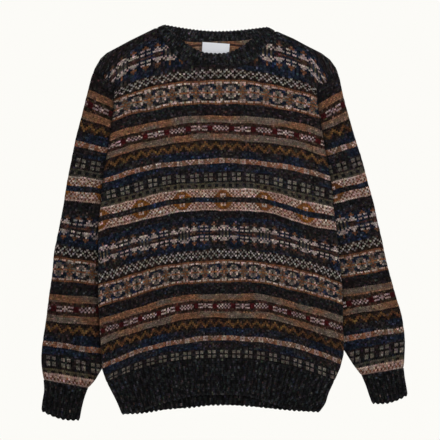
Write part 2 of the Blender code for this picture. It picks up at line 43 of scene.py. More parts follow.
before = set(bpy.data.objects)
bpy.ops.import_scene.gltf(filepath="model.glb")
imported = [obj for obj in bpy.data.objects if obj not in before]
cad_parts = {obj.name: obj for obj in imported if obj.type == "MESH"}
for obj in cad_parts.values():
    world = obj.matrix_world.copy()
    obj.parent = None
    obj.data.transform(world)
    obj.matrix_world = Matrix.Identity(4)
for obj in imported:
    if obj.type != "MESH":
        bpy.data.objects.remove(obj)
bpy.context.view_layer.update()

# ---- the cloth's lie, in millimetres --------------------------------------------
MM = 0.001
FOLD_RADIUS = 3.7           # half the height of two layers that lie on each other
FOLD_ARC = FOLD_RADIUS * np.pi / 2
FOLD_EXTRA = FOLD_ARC - FOLD_RADIUS
TUBE_LIFT = 7.9             # a tucked sleeve, and the gap over it
TUCK_START = -14.0          # height where a sleeve has dived under the body
TUCK_MARGIN = 8.0           # how far past the sleeve's hidden fold the body stays up
LIFT_START = 68.0           # height where the body begins to rise over the sleeve
LIFT_END = -268.0           # height below which the body sinks back to the floor
LIFT_FADE = 66.0            # how far below that it touches the floor
EASE = 56.0                 # width over which the body sinks beside the sleeve
SEAM_EASE = 46.0            # width over which a sleeve sinks beside the armhole
FRONT_PUFF = 2.6            # height of the softest bulge between front and back
SLEEVE_PUFF = 2.4           # the same inside a sleeve
PUFF_LIMIT = 1.2            # the most that bulges which meet add up to
BESIDE_BODY = 2.0           # how far from the body a sleeve's bulge begins
PUFF_EASE = 34.0            # width over which a bulge rises from a fold or seam
RIPPLE_WAVES = (24.0, 31.0, 38.0, 47.0, 58.0, 71.0, 90.0)   # lengths
RIPPLE_SHARE = 4.0          # brings their sum to about -1 to 1
HEM_FLAT = -345.0           # height where the front's bulges have sunk to nothing
HEM_FULL = -280.0           # height above which they are whole
NECK_PUFF = 2.2             # how far the front neck stands off the back
NECK_PUFF_Y = 300.0
NECK_PUFF_WIDE = 62.0
NECK_PUFF_TALL = 46.0
UNDERARM = 14.0             # height of the underarm, where the sides stop being folded
UNDERARM_FADE = 22.0
BOTTOM_BOW = 6.5            # how far a cuff's end bows out at its middle

# ---- outlines, in millimetres: a row for each section ---------------------------
# side of the body, from the rib's top up to the underarm: left x, left y, right x, right y
SIDE = np.array([
    (-212, -287, 198, -284), (-220, -264, 210, -255), (-222, -233, 215, -231),
    (-224, -194, 213, -190), (-227, -140, 213, -140), (-227, -86, 209, -86),
    (-227, -40, 204, -40), (-227, -10, 201, -10), (-226, 14, 199, 14),
], float)
# armhole seam, from above the underarm up to its corner: the same columns
ARMHOLE = np.array([
    (-222, 51, 194, 58), (-217, 94, 187, 102), (-209, 134, 181, 130),
    (-204, 174, 175, 170), (-200, 199, 170, 194), (-199, 220, 167, 219),
    (-197, 248, 166, 242),
], float)
# side of the hem rib, from the rib's top down to the hem's corner: the same columns
HEM_SIDE = np.array([
    (-212, -287, 198, -284), (-204, -303, 187, -309), (-195, -321, 182, -325),
    (-185, -345, 171, -341),
], float)
# shoulder line, from the shoulder's tip to the neck corner: the same columns
SHOULDER = np.array([
    (-237, 271, 206, 266), (-230, 283, 200, 279), (-223, 295, 190, 293),
    (-212, 305, 174, 305), (-195, 314, 150, 317), (-169, 328, 124, 331),
    (-122, 351, 92, 345),
], float)
# curves across the body, left to right: x, y
RIB_TOP = np.array([(-212, -287), (-179, -273), (-134, -258), (-71, -248), (-8, -245),
                    (64, -248), (118, -258), (163, -272), (198, -284)], float)
HEM_FRONT_EDGE = np.array([(-185, -345), (-150, -340), (-120, -328), (-89, -319),
                           (-58, -312), (-8, -310), (39, -312), (68, -320),
                           (119, -336), (171, -341)], float)
HEM_BACK_EDGE = np.array([(-185, -345), (-149, -343), (-109, -337), (-63, -333),
                          (-26, -329), (37, -330), (78, -334), (119, -338),
                          (171, -341)], float)
NECK_FRONT_SEAM = np.array([(-122, 351), (-110, 329), (-99, 313), (-86, 298), (-64, 285),
                            (-17, 284), (39, 285), (52, 292), (68, 309), (81, 327),
                            (92, 345)], float)
NECK_FRONT_EDGE = np.array([(-109, 356), (-87, 338), (-66, 320), (-41, 307), (-17, 304),
                            (8, 306), (33, 318), (56, 336), (78, 352)], float)
NECK_BACK_SEAM = np.array([(-122, 351), (-98, 336), (-73, 327), (-17, 326), (42, 329),
                           (68, 335), (92, 345)], float)
NECK_BACK_EDGE = np.array([(-109, 356), (-87, 352), (-62, 348), (-17, 344), (28, 346),
                           (55, 349), (78, 352)], float)
# sleeve below the underarm, down to the cuff: outer x, outer y, inner x, inner y
SLEEVE_BELOW = {
    "left": np.array([
        (-296, 1, -222, -8), (-301, -24, -213, -37), (-307, -55, -194, -71),
        (-310, -89, -186, -107), (-316, -132, -188, -150), (-321, -172, -195, -190),
        (-327, -212, -206, -230), (-330, -248, -221, -264), (-328, -267, -233, -284),
        (-326, -283, -245, -298),
    ], float),
    "right": np.array([
        (274, 10, 196, -8), (282, -24, 190, -37), (290, -62, 174, -71),
        (298, -94, 166, -107), (310, -137, 168, -147), (319, -166, 177, -179),
        (323, -192, 195, -210), (325, -213, 216, -231), (324, -240, 231, -255),
        (323, -262, 246, -275),
    ], float),
}
# sleeve beside the armhole, from the shoulder's tip down to the underarm: outer x, y
SLEEVE_CAP = {
    "left": np.array([(-237, 271), (-242, 253), (-248, 230), (-256, 197), (-267, 156),
                      (-276, 112), (-285, 66), (-292, 21)], float),
    "right": np.array([(206, 266), (211, 242), (217, 216), (226, 184), (237, 147),
                       (247, 116), (258, 74), (270, 30)], float),
}
# cuff, from the sleeve's end to its open end: outer x, outer y, inner x, inner y
CUFF = {
    "left": np.array([(-326, -283, -245, -298), (-325, -302, -251, -314),
                      (-328, -321, -256, -333), (-330, -338, -260, -355)], float),
    "right": np.array([(323, -262, 246, -275), (325, -280, 254, -294),
                       (328, -297, 260, -312), (330, -310, 265, -325)], float),
}
# soft bulges between front and back, and in the sleeves: x, y, half length,
# half width, turn in degrees, share of the puff (negative for a trough)
BULGES = [
    (-40, 180, 150, 95, 10, 0.75), (70, 60, 190, 80, 82, 0.80),
    (-110, -40, 170, 70, 96, 0.85), (20, -170, 190, 70, 4, 0.70),
    (118, -225, 60, 8, 84, -0.90), (-150, 120, 120, 14, 60, -0.45),
    (120, 140, 110, 14, 118, -0.45), (-20, -60, 150, 16, 20, -0.35),
    (-245, 150, 120, 34, 76, 0.90), (-270, -60, 110, 36, 84, 0.95),
    (-285, -215, 70, 34, 88, 0.90), (-262, 30, 46, 9, 160, -0.50),
    (212, 150, 120, 34, 104, 0.90), (252, -60, 110, 38, 100, 0.95),
    (290, -205, 60, 34, 96, 0.90), (236, 25, 46, 9, 18, -0.50),
]

# ---- how the body's courses run: course, size in millimetres --------------------
COURSE_HEIGHT = np.array([
    (0, -244.6), (7, -225.7), (12, -211.5), (15, -202.9), (26, -169.9), (30, -158.4),
    (37, -138.6), (41, -126.9), (48, -106.4), (61, -67.0), (67, -47.3), (72, -32.1),
    (81, -4.4), (90, 22.8), (95, 37.8), (98, 47.1), (103, 62.3), (107, 73.4),
    (114, 92.5), (119, 106.7), (122, 115.5), (133, 148.7), (137, 160.4), (144, 180.7),
    (148, 193.3), (155, 214.0), (168, 257.4), (174, 276.4), (179, 301.0), (188, 332.0),
    (193, 348.5), (210, 401.0)], float)
HALF_WIDTH = np.array([(0, 205), (32.5, 219), (64, 218), (99.5, 210), (144.5, 192),
                       (174.5, 182), (193.5, 182)], float)
DROOP_LEFT = np.array([(0, 43), (3, 47), (12.5, 48), (27.5, 50), (32.5, 50), (64, 43),
                       (99.5, 35), (120.5, 32), (144.5, 32), (174, 34), (180, 41),
                       (193.5, 46)], float)
DROOP_RIGHT = np.array([(0, 41), (12.5, 42), (32.5, 44), (64, 43), (96.5, 37),
                        (120.5, 33), (144.5, 31.5), (174, 35), (180, 41), (193.5, 45)], float)
DROOP_POWER = 2.2
# places where the cloth has slipped and the courses sag: course, x, half as many
# courses, half the width, depth (negative where they are pulled up)
SAGS = [
    (90, 148, 22, 50, 8.0), (38, 150, 22, 50, 2.5), (28, 66, 24, 24, -2.0),
    (149, 150, 13, 38, -4.2), (62, -222, 60, 22, -4.0), (50, -150, 45, 38, 1.8),
    (156, -172, 9, 26, -4.5),
]
# how the courses waver: x over which a wave turns one radian, turn from course to
# course, start, height
WAVES = [(23.0, 0.11, 0.7, 0.9), (9.0, 0.31, 2.1, 0.5), (3.4, 0.7, 0.3, 0.25)]
# near the shoulders' tips the courses turn down more: where it starts, how far from
# the middle, the slope it comes to, and over what width
TIP_COURSES = (166.0, 179.0)
TIP_LEFT = (165.0, 0.9, 35.0)
TIP_RIGHT = (162.0, 1.6, 23.0)
TIP_CLOSER = 150.0          # how the wales close up there
MIDDLE_WALE = np.array([(0, -0.9), (32.5, -0.9), (76, -0.2), (99.5, -2.7), (140.5, -6.7),
                        (171.5, -10.8)], float)
WALE_WIDTH = np.array([(0, 2.75), (33.5, 2.79), (66.5, 2.97), (96.5, 3.08), (140.5, 3.24),
                       (171.5, 3.64)], float)
RIB_SETTLE = 16.0           # courses over which the cloth settles on to the rib's top
BODY_COURSES = 208
BODY_WALES = 84             # wales each side of the middle one
YOKE_COURSE = 196           # above this the body is plain charcoal

# how the sleeves' courses run: course, height at the outer fold, height at the
# armhole or where the sleeve goes under the body
SLEEVE_COURSES = {
    "left": np.array([
        (0, -283, -298), (9.5, -245, -260.8), (19.5, -216.4, -230), (28.5, -187.6, -196),
        (39.5, -151.7, -158.9), (60.5, -82.4, -92), (70.5, -48.4, -58),
        (82.5, -4.1, -13.5), (102.5, 63.2, 56.9), (126.5, 143.6, 130.3),
        (135.5, 176.8, 160.2), (146.5, 215.8, 194.6), (163, 271, 248),
    ], float),
    "right": np.array([
        (0, -262, -275), (9.5, -220.9, -241.6), (19.5, -191, -209.5),
        (28.5, -160, -176.4), (39.5, -127.3, -149.6), (45, -111.4, -125.8),
        (60.5, -64.8, -79.2), (70.5, -32.8, -47.3), (82.5, 7.2, -7.6),
        (102.5, 71.5, 53.8), (126.5, 143.6, 125.1), (135.5, 174.8, 156.1),
        (146.5, 214, 189.2), (163, 266, 242),
    ], float),
}
SLEEVE_ROWS = 163
SLEEVE_WALES = 42           # wales each side of the outer fold
SLEEVE_GAUGE = 3.38         # width of a stitch
SLEEVE_CHART_START = 101    # the chart's course at the cuff
SLEEVE_PLAIN = 260          # above this the sleeve's head is plain charcoal
# painted shade: the sleeves and cuffs darker than the body, the left one more, as they lie
# lower and the left lies further from the lamp
SLEEVE_PAINTED_SHADE = {"left": 0.88, "right": 0.93}     # brightness, as a share of the body's
# painted shadow that the body casts on a sleeve: darkest right beside the body's edge, fading
# out over TUCK_SHADE_WIDE
TUCK_SHADE = 0.38           # how much darker a sleeve is right beside the body
TUCK_SHADE_WIDE = 9.0
SLEEVE_OFFSET = {"left": 2, "right": 4}     # wales from the motifs' middle to the fold

# ---- the chart: bands from the hem's rib upwards --------------------------------
# Each band is its courses as they are seen, top one first. A letter is a yarn. In
# a mirrored band the letters run from the middle wale outwards to half the repeat.
MIRRORED = True
REPEATED = False
BANDS = [
    (MIRRORED, ["K", "KGGKK", "KGGKK", "K", "KGGKK", "KGGKK", "K"]),
    (MIRRORED, ["N"] * 5),
    (MIRRORED, ["PPttPtP", "tPtttPt", "PPttttP"]),
    (MIRRORED, ["N"] * 5),
    (MIRRORED, ["zzzB", "zzBB", "zBBz", "BBzz", "Bzzz"]),
    (MIRRORED, ["k"]),
    (MIRRORED, ["T"] * 4),
    (MIRRORED, ["u"] * 2),
    (MIRRORED, ["MWMWMFFFWWWMW", "WMWMWFFFMMMWW", "MWMWMFFFWWWMW"]),
    (MIRRORED, ["u"] * 2),
    (MIRRORED, ["T"] * 4),
    (MIRRORED, ["K"] * 7),
    (MIRRORED, ["R", "ccRcccR", "eceNNNN", "ReNNNge", "eRNNcee", "RegecgN", "oRocfof",
                "RegecgN", "eRNNcee", "ReNNNge", "eceNNNN", "ccRcccR", "R"]),
    (MIRRORED, ["k"]),
    (MIRRORED, ["Lkk", "kLk", "kkL", "kLk", "Lkk"]),
    (MIRRORED, ["qNNNNqqqNNNqq", "qNNNNNqNNNNNq", "N", "N", "N"]),
    (MIRRORED, ["SNSNSSSSSNSSN", "SSNSNSSSNNNNN", "SSSNNNSNNNSSN"]),
    (MIRRORED, ["ONONNMMMNNNNN", "ONONMMMMMMMMM", "ONONNMMMNNNNN"]),
    (MIRRORED, ["SSSNNNSNNNSSN", "SSNSNSSSNNNNN", "SNSNSSSSSNSSN"]),
    (MIRRORED, ["N", "N", "N", "qNNNNNqNNNNNq", "qNNNNqqqNNNqq"]),
    (MIRRORED, ["K"] * 4),
    (MIRRORED, ["AcAAAAcrcccrc", "ccAAAcrcrcrcr", "AAAAcrcccrccc", "AArcrcrcrcrcr", "c"]),
    (MIRRORED, ["N"] * 3),
    (MIRRORED, ["c", "AArcrcrcrcrcr", "AAAAcrcccrccc", "ccAAAcrcrcrcr", "AcAAAAcrcccrc"]),
    (REPEATED, ["OOOO", "KKOO", "KKOO", "OOOO"]),
]
REPEAT_WALES = 24
CUFF_STRIP = ["cccc", "rccc", "crcr", "cccc"]       # the sleeve's first courses
LINING = [(177, "T"), (184, "M"), (185, "T"), (189, "N")]   # the yoke's inside, from
                                                            # a course upwards
# letter, yarn, where it goes, colour as it looks on a screen (0 to 255), second shade
# as a share of that colour, how much of the cloth has the second shade
YARNS = [
    ("K", "charcoal", "Ribs and plain dark bands", (34, 34, 36), (1.30, 0.90, 0.85), 0.9),
    ("j", "slate", "Tops of yoke and sleeves", (43, 42, 44), (1.25, 1.00, 0.95), 0.9),
    ("k", "black", "Ground of the lattice", (39, 31, 28), (1.40, 1.05, 0.95), 0.8),
    ("z", "umber", "Ground of the zigzags", (48, 36, 30), (0.80, 0.85, 0.95), 1.0),
    ("u", "chestnut", "Beside the crosses", (67, 43, 38), (0.72, 1.00, 0.85), 1.0),
    ("N", "navy", "Ground of the stars", (43, 38, 38), (0.58, 1.00, 1.80), 1.0),
    ("T", "tan", "Broad grey-brown bands", (121, 105, 93), (1.40, 0.88, 0.62), 1.0),
    ("t", "cinnamon", "Ground of the smallest motifs", (130, 98, 80), (1.25, 0.95, 0.80),
     1.0),
    ("P", "blush", "The smallest motifs", (190, 166, 157), (0.85, 0.78, 0.74), 1.0),
    ("G", "grey", "Dotted bands", (130, 121, 111), (0.70, 0.72, 0.72), 1.0),
    ("B", "bronze", "Zigzags", (114, 82, 50), (0.70, 0.62, 0.75), 1.0),
    ("M", "mulberry", "Ground of the crosses", (74, 53, 46), (0.85, 0.80, 0.85), 1.0),
    ("F", "crimson", "Gaps between the crosses", (78, 22, 24), (0.75, 0.90, 0.95), 1.0),
    ("W", "rose", "The crosses", (192, 168, 165), (0.82, 0.74, 0.76), 1.0),
    ("R", "rust", "Edges and lattices", (124, 84, 60), (0.88, 0.80, 0.80), 1.0),
    ("r", "brown", "Checks in the light band", (128, 83, 60), (0.80, 0.72, 0.80), 1.0),
    ("c", "cream", "Ground of the light band", (204, 179, 167), (0.84, 0.72, 0.68), 1.0),
    ("g", "stone", "Pale in the medallions", (140, 126, 116), (0.85, 0.86, 0.86), 1.0),
    ("e", "lichen", "Ground in the medallions", (104, 96, 90), (0.86, 0.86, 0.86), 1.0),
    ("q", "russet", "Tips of the stars", (100, 70, 55), (1.35, 1.15, 0.90), 1.0),
    ("f", "brick", "Bars in the medallions", (136, 84, 58), (0.80, 0.80, 0.90), 1.0),
    ("o", "orange", "Between the medallions", (152, 104, 66), (0.80, 0.80, 0.90), 1.0),
    ("L", "oatmeal", "Lattice on black", (168, 160, 155), (0.86, 0.84, 0.80), 1.0),
    ("S", "silver", "Stars", (190, 170, 162), (0.84, 0.84, 0.86), 1.0),
    ("O", "olive", "Checked bands", (78, 73, 65), (1.30, 1.20, 0.95), 1.0),
    ("A", "amber", "Diamonds in the light band", (132, 84, 50), (1.05, 1.00, 0.55), 1.0),
]
PATCH_WALES = 9.0           # length of a patch of one shade along a course
PATCH_COURSES = 3.0
HEATHER = 0.30              # how much one stitch's brightness differs from the next
TINT = 0.06                 # how much its hue does
DARK_YARNS = "KjkzuNM"       # these are heathered more, and flecked
DARK_HEATHER = 2.0          # how much more
RIB_BLOTCH = 0.35           # how much small patches of the ribs differ in brightness
HEATHER_EVENS = (0.15, 0.05)    # keeps dark and other yarns as bright as unheathered
FLOAT_SHIFT = 3             # wales that the floats inside lie away from their stitches
FLOAT_TONE = 0.85           # brightness of the inside, over the outside
PATCHES = 64                # patches along a course
PATCH_EDGES = (0.25, 0.75)  # share of the second shade where one patch turns to another
FLECK_SHARE = 0.16          # stitches of a dark yarn with a coloured fleck
FLECKS = np.array([(1.8, 1.2, 1.0), (0.95, 1.15, 1.6), (1.15, 1.4, 1.1), (1.7, 1.5, 1.4)])

# ---- ribs and other fine sizes, in millimetres ----------------------------------
HEM_RIBS = 42
CUFF_RIBS = 8
NECK_RIBS = 58
RIB_STEPS = 8               # columns of points for each rib
HEM_ROWS = 20
CUFF_ROWS = 16
NECK_ROWS = 8
RIB_COURSE = 3.3            # height of a course in the ribs
RIB_WALES = 4               # stitches for each rib
EDGE_ROUND = 1.6            # radius of a rib's free edge
SEAM_WIDE = 4.0             # width of the dip on each side of a seam
JOIN_DIP = 0.6              # dip where cloth is knitted on to a rib, over a seam's
JOIN_COURSES = 1.5          # courses over which that dip fades
SEAM_FLATTENS = 0.7         # how much a seam flattens the ribs beside it
DENT = 0.5                  # the deepest that the small unevenness sinks
WAVER_EASE = 12.0           # width over which a sleeve's courses begin to waver
WAVER_COURSES = 6.0         # courses over which they do, at both ends
SHOULDER_WAY = (0.43, 0.9)  # way in which a shoulder's fold faces: outwards and up
CREST_POWER = 0.6           # under 1, so that a rib's crest is broad
RIB_PROUD = 0.5             # how far an upper rib stands out, over a rib's height
# painted shade on the ribs: valleys darker and crests paler, as light falls across them
RIB_VALLEY_PAINTED_SHADE = 0.47             # brightness between the ribs
RIB_CREST_PAINTED_LIGHT = 0.67          # what the crest adds to it
# the second number is how much the painted shade of the neckband's ribs counts
BAND_TONES = (1.02, 0.28)   # the neckband's brightness, and how much its ribs count
BAND_RELIEF = 0.6           # height of the neckband's ribs, over that of the others
END_RANGE = (0.2, 1.8)      # least and most that one rib's end stands out
SCALLOP_START = 0.7         # share of a cuff's or neckband's depth where its ends begin
HEM_SCALLOP = 0.2           # the same from the hem's free edge
CUFF_START = 2.0            # width over which a cuff's ribs rise from its seam
FLAT_RISE = 0.9             # rise above which a layer counts as flat, off its fold
CUFF_INSIDE = 0.8           # brightness of a cuff's inside, over its outside
LABEL_SIZE = (49.0, 26.0)
LABEL_THICK = 0.6
LABEL_MIDDLE = (-16.0, 310.0)
LABEL_TURN = -4.0           # degrees
LABEL_HEIGHT = 3.3          # its underside
LABEL_WAVE = (0.10, 6.0, 9.0)       # how it waves: height, and run along and across
LABEL_GROOVE = (0.18, 1.6, 0.7)     # its stitching: depth, place from the edge, width
LABEL_SOFT = (0.2, 0.5)             # how its edge sinks: depth, width

# ---- the stage, in metres -------------------------------------------------------
FLOOR_HALF = 4.0
FLOOR_HEIGHT = -0.0003
LAMP_PLACE = (0.75, 1.05, 1.0)
LAMP_TURN = (-0.70, 0.64, 0.0)
SENSOR_WIDTH = 36.0         # millimetres

# ---- points on curves, and seeds of the random draws ----------------------------
CURVE_POINTS = 200
SIDE_POINTS = 13
FOLD_POINTS = 120
NECK_POINTS = 61
END_SEARCH = (100.0, 250.0, 1501)   # where a course's end is looked for: from, to, steps
FOLD_SEARCH = (0.5, 2.6, 2101)      # the same for a sleeve's fold, over what is seen
RIPPLE_SEED = 7
BOBBLE_SEEDS = {"body": 11, "sleeve": 12}
YARN_SEEDS = {"front": 21, "back": 31, "left": 41, "right": 51}
CUFF_SEEDS = (61, 62)       # colours, ends
HEM_SEEDS = {"front": (71, 74), "back": (72, 75), "inside": 73}
BAND_SEEDS = (81, 82)       # outside, inside


# ---- curves and distances -------------------------------------------------------
def smooth(low, high, value):
    """0 below low, 1 above high, and a smooth step between them."""
    share = np.clip((value - low) / (high - low), 0.0, 1.0)
    return share * share * (3.0 - 2.0 * share)


def along(points, shares):
    """Points at the given shares of a curve of cubic pieces through the points.

    The slope at each point is that of the line between its two neighbours.
    """
    points = np.asarray(points, float)
    steps = np.linalg.norm(np.diff(points, axis=0), axis=1)
    place = np.concatenate([[0.0], np.cumsum(steps)])
    slopes = np.gradient(points, place, axis=0)
    wanted = np.clip(np.asarray(shares, float), 0.0, 1.0) * place[-1]
    piece = np.clip(np.searchsorted(place, wanted, side="right") - 1, 0, len(steps) - 1)
    span = steps[piece][:, None]
    t = ((wanted - place[piece]) / steps[piece])[:, None]
    start, end = points[piece], points[piece + 1]
    return ((2 * t**3 - 3 * t**2 + 1) * start + (t**3 - 2 * t**2 + t) * span * slopes[piece]
            + (3 * t**2 - 2 * t**3) * end + (t**3 - t**2) * span * slopes[piece + 1])


def drawn(points, count=CURVE_POINTS):
    """Evenly spaced points on the curve through the given ones."""
    return along(points, np.linspace(0.0, 1.0, count))


def at(table, row, column=1):
    """A table's size at a row, or a line's height at x, by straight runs."""
    return np.interp(row, table[:, 0], table[:, column])


def x_on(line, y):
    """x where a line that rises passes the height y."""
    return np.interp(y, line[:, 1], line[:, 0])


def side_fold(y):
    """1 where a side is folded, below the underarm, and 0 where it is a flat seam."""
    return 1.0 - smooth(UNDERARM, UNDERARM + UNDERARM_FADE, y)


def length(points):
    """The length of a line of points."""
    return float(np.linalg.norm(np.diff(points, axis=0), axis=1).sum())


def line_distance(x, y, line):
    """Distance from each point to a line of straight runs."""
    best = np.full(np.broadcast(x, y).shape, np.inf)
    for start, end in zip(line[:-1], line[1:]):
        run = end - start
        share = np.clip(((x - start[0]) * run[0] + (y - start[1]) * run[1]) / (run @ run),
                        0.0, 1.0)
        best = np.minimum(best, np.hypot(x - start[0] - share * run[0],
                                         y - start[1] - share * run[1]))
    return best


def column(side):
    """The first column of a side in the tables that have both sides."""
    return 0 if side == "left" else 2


def body_edge(side):
    """The body's edge, from the hem's corner up to the shoulder's tip."""
    first = column(side)
    lower = drawn(SIDE[:, first:first + 2], SIDE_POINTS)
    hem = HEM_SIDE[:0:-1, first:first + 2]
    return np.vstack([hem, lower, ARMHOLE[:, first:first + 2], SHOULDER[:1, first:first + 2]])


def side_x(side, y):
    """The body's edge on one side at the height y, up to the armhole's corner."""
    edge = body_edge(side)[:-1]
    return x_on(edge, y)


def sleeve_inner_edge(side):
    """A sleeve's inner edge: its hidden fold, and the armhole seam above that."""
    first = column(side)
    fold = SLEEVE_BELOW[side][::-1, 2:]
    seam = np.vstack([ARMHOLE, SHOULDER[:1]])[:, first:first + 2]
    return np.vstack([fold, seam])


def sleeve_outer_edge(side):
    """A sleeve's outer fold, from the cuff up to the shoulder's tip."""
    points = np.vstack([SLEEVE_BELOW[side][::-1, :2], SLEEVE_CAP[side][::-1]])
    return drawn(points, FOLD_POINTS)


# ---- heights --------------------------------------------------------------------
def tucked_x(side, y):
    """The hidden inner fold of a sleeve at the height y, or the body's edge."""
    rows = SLEEVE_BELOW[side][::-1, 2:]
    inner = x_on(rows, y)
    edge = side_x(side, y)
    return np.maximum(inner, edge) if side == "left" else np.minimum(inner, edge)


def body_lift(x, y):
    """How far the tucked sleeves raise the body: a smooth step beside each of them."""
    down = smooth(LIFT_START, TUCK_START, y) * smooth(LIFT_END - LIFT_FADE, LIFT_END, y)
    left = 1.0 - smooth(TUCK_MARGIN, TUCK_MARGIN + EASE, x - tucked_x("left", y))
    right = 1.0 - smooth(TUCK_MARGIN, TUCK_MARGIN + EASE, tucked_x("right", y) - x)
    return TUBE_LIFT * down * np.maximum(left, right)


def sleeve_lift(side, x, y):
    """How far a sleeve rises beside the armhole seam, a smooth step away from it."""
    edge = side_x(side, y)
    level = body_lift(edge, np.maximum(y, UNDERARM))
    return (level * (1.0 - smooth(0.0, SEAM_EASE, np.abs(x - edge)))
            * smooth(TUCK_START, UNDERARM, y))


def bulge(x, y):
    """Share of the puff at a point: round-topped bulges less the soft troughs."""
    total = np.zeros(np.broadcast(x, y).shape)
    for centre_x, centre_y, half_long, half_wide, turn, share in BULGES:
        angle = np.radians(turn)
        run = (x - centre_x) * np.cos(angle) + (y - centre_y) * np.sin(angle)
        rise = (y - centre_y) * np.cos(angle) - (x - centre_x) * np.sin(angle)
        total = total + share * np.exp(-((run / half_long) ** 2 + (rise / half_wide) ** 2))
    return np.clip(total, 0.0, PUFF_LIMIT)


def shoulder_distance(x, y):
    """Distance from each point to the nearer shoulder line."""
    return np.minimum(line_distance(x, y, SHOULDER[:, :2]),
                      line_distance(x, y, SHOULDER[:, 2:]))


def front_puff(x, y):
    """How far the front stands off the back, faded at the sides and the shoulders."""
    sides = smooth(0.0, PUFF_EASE, np.minimum(x - side_x("left", y), side_x("right", y) - x))
    puff = FRONT_PUFF * bulge(x, y) * sides * smooth(0.0, PUFF_EASE,
                                                     shoulder_distance(x, y))
    puff = puff * smooth(HEM_FLAT, HEM_FULL, y)
    neck_middle = (NECK_FRONT_EDGE[0, 0] + NECK_FRONT_EDGE[-1, 0]) / 2
    reach = np.exp(-((x - neck_middle) / NECK_PUFF_WIDE) ** 2
                   - ((y - NECK_PUFF_Y) / NECK_PUFF_TALL) ** 2)
    return np.maximum(puff, 0.0) + NECK_PUFF * reach


def sleeve_puff(side, x, y):
    """How far a sleeve's upper layer stands off the lower one, faded at its edges."""
    outer, inner = sleeve_outer_edge(side), sleeve_inner_edge(side)
    outwards = np.abs(x - x_on(outer, y))
    inwards = np.abs(x - x_on(inner, y))
    body = side_x(side, y) - x if side == "left" else x - side_x(side, y)
    fade = smooth(0.0, PUFF_EASE, outwards) * smooth(0.0, PUFF_EASE, inwards)
    return SLEEVE_PUFF * np.maximum(bulge(x, y), 0.0) * fade * smooth(
        BESIDE_BODY, PUFF_EASE, body)


def ripple(x, y):
    """Small unevenness of laid wool, about -1 to 1: a sum of waves, each its own way."""
    draw = np.random.default_rng(RIPPLE_SEED)
    total = np.zeros(np.broadcast(x, y).shape)
    for wave in RIPPLE_WAVES:
        angle, phase = draw.uniform(0.0, 2 * np.pi, 2)
        total += np.sin((x * np.cos(angle) + y * np.sin(angle)) * 2 * np.pi / wave + phase)
    return total / RIPPLE_SHARE


# ---- laying cloth over its folds ------------------------------------------------
def rolled(arc, fold):
    """Where cloth lies at a distance `arc` along it from an edge that is folded.

    The cloth turns over the fold as a quarter circle, then lies flat. fold is 1 at a
    fold and 0 at a flat seam. Gives the distance from the edge as seen from above,
    the height as a share of the radius, and how far the surface leans outwards.
    """
    angle = np.clip(arc / FOLD_RADIUS, 0.0, np.pi / 2)
    plan = FOLD_RADIUS * (1.0 - np.cos(angle)) + np.maximum(arc - FOLD_ARC, 0.0)
    distance = fold * plan + (1.0 - fold) * arc
    return distance, 1.0 - fold * (1.0 - np.sin(angle)), fold * np.cos(angle)


def patch(bottom, top, left, right):
    """A grid of points stretched between four edges.

    Straight lines run from the bottom edge to the top edge, and the way in which a
    side differs from its own straight line is added, fading with the fourth power
    of the distance from that side.
    """
    def shares(line):
        steps = np.linalg.norm(np.diff(line, axis=0), axis=1)
        return np.concatenate([[0.0], np.cumsum(steps)]) / steps.sum()

    row = np.linspace(0.0, 1.0, len(left))[:, None]
    across = np.linspace(0.0, 1.0, len(bottom))[None, :]
    u = ((1 - row) * shares(bottom)[None, :] + row * shares(top)[None, :])[..., None]
    rise_left, rise_right = shares(left)[:, None], shares(right)[:, None]
    v = ((1 - across) * rise_left + across * rise_right)[..., None]
    bend_left = left - (1 - rise_left) * bottom[0] - rise_left * top[0]
    bend_right = right - (1 - rise_right) * bottom[-1] - rise_right * top[-1]
    return ((1 - v) * bottom[None] + v * top[None]
            + (1 - u) ** 4 * bend_left[:, None] + u ** 4 * bend_right[:, None])


def wall(base, tilt, sign, relief, thick):
    """Outer and inner points of a layer of cloth.

    tilt is how far the outward normal leans away from the edge's inward way, and
    sign is 1 where the cloth faces up and -1 where it faces down. The outer points
    stand off the base by relief and the inner ones lie the thickness behind it.
    """
    stand = np.sqrt(np.maximum(1.0 - (tilt ** 2).sum(axis=2), 0.0))
    normal = np.dstack([-tilt, sign * stand])
    return base + relief[..., None] * normal, base - thick * normal


def face_mean(grid):
    """The mean of each face's four corners."""
    return 0.25 * (grid[:-1, :-1] + grid[:-1, 1:] + grid[1:, :-1] + grid[1:, 1:])


def rolled_strip(place, seam):
    """A strip along a seam line, rolled over at both its ends.

    place runs from 0 to 1 along the cloth. Gives the shares of the seam line, and the
    rise and the lean that rolled() tells of.
    """
    total = length(drawn(seam))
    spread = total + 2 * FOLD_EXTRA
    arc = place * spread
    from_left, rise_left, lean_left = rolled(arc, 1.0)
    from_right, rise_right, lean_right = rolled(spread - arc, 1.0)
    nearer_left = place < 0.5
    return (np.where(nearer_left, from_left, total - from_right) / total,
            np.where(nearer_left, rise_left, rise_right),
            np.where(nearer_left, lean_left, -lean_right))


def lowered_middles(grid, free):
    """Stitches as V's: the middle of each stitch moves half a course down."""
    out = grid.copy()
    middle = 0.5 * (grid[1:, 1::2] + grid[:-1, 1::2])
    mask = free[1:, 1::2]
    if grid.ndim == 3:
        mask = mask[..., None]
    out[1:, 1::2] = np.where(mask, middle, grid[1:, 1::2])
    return out


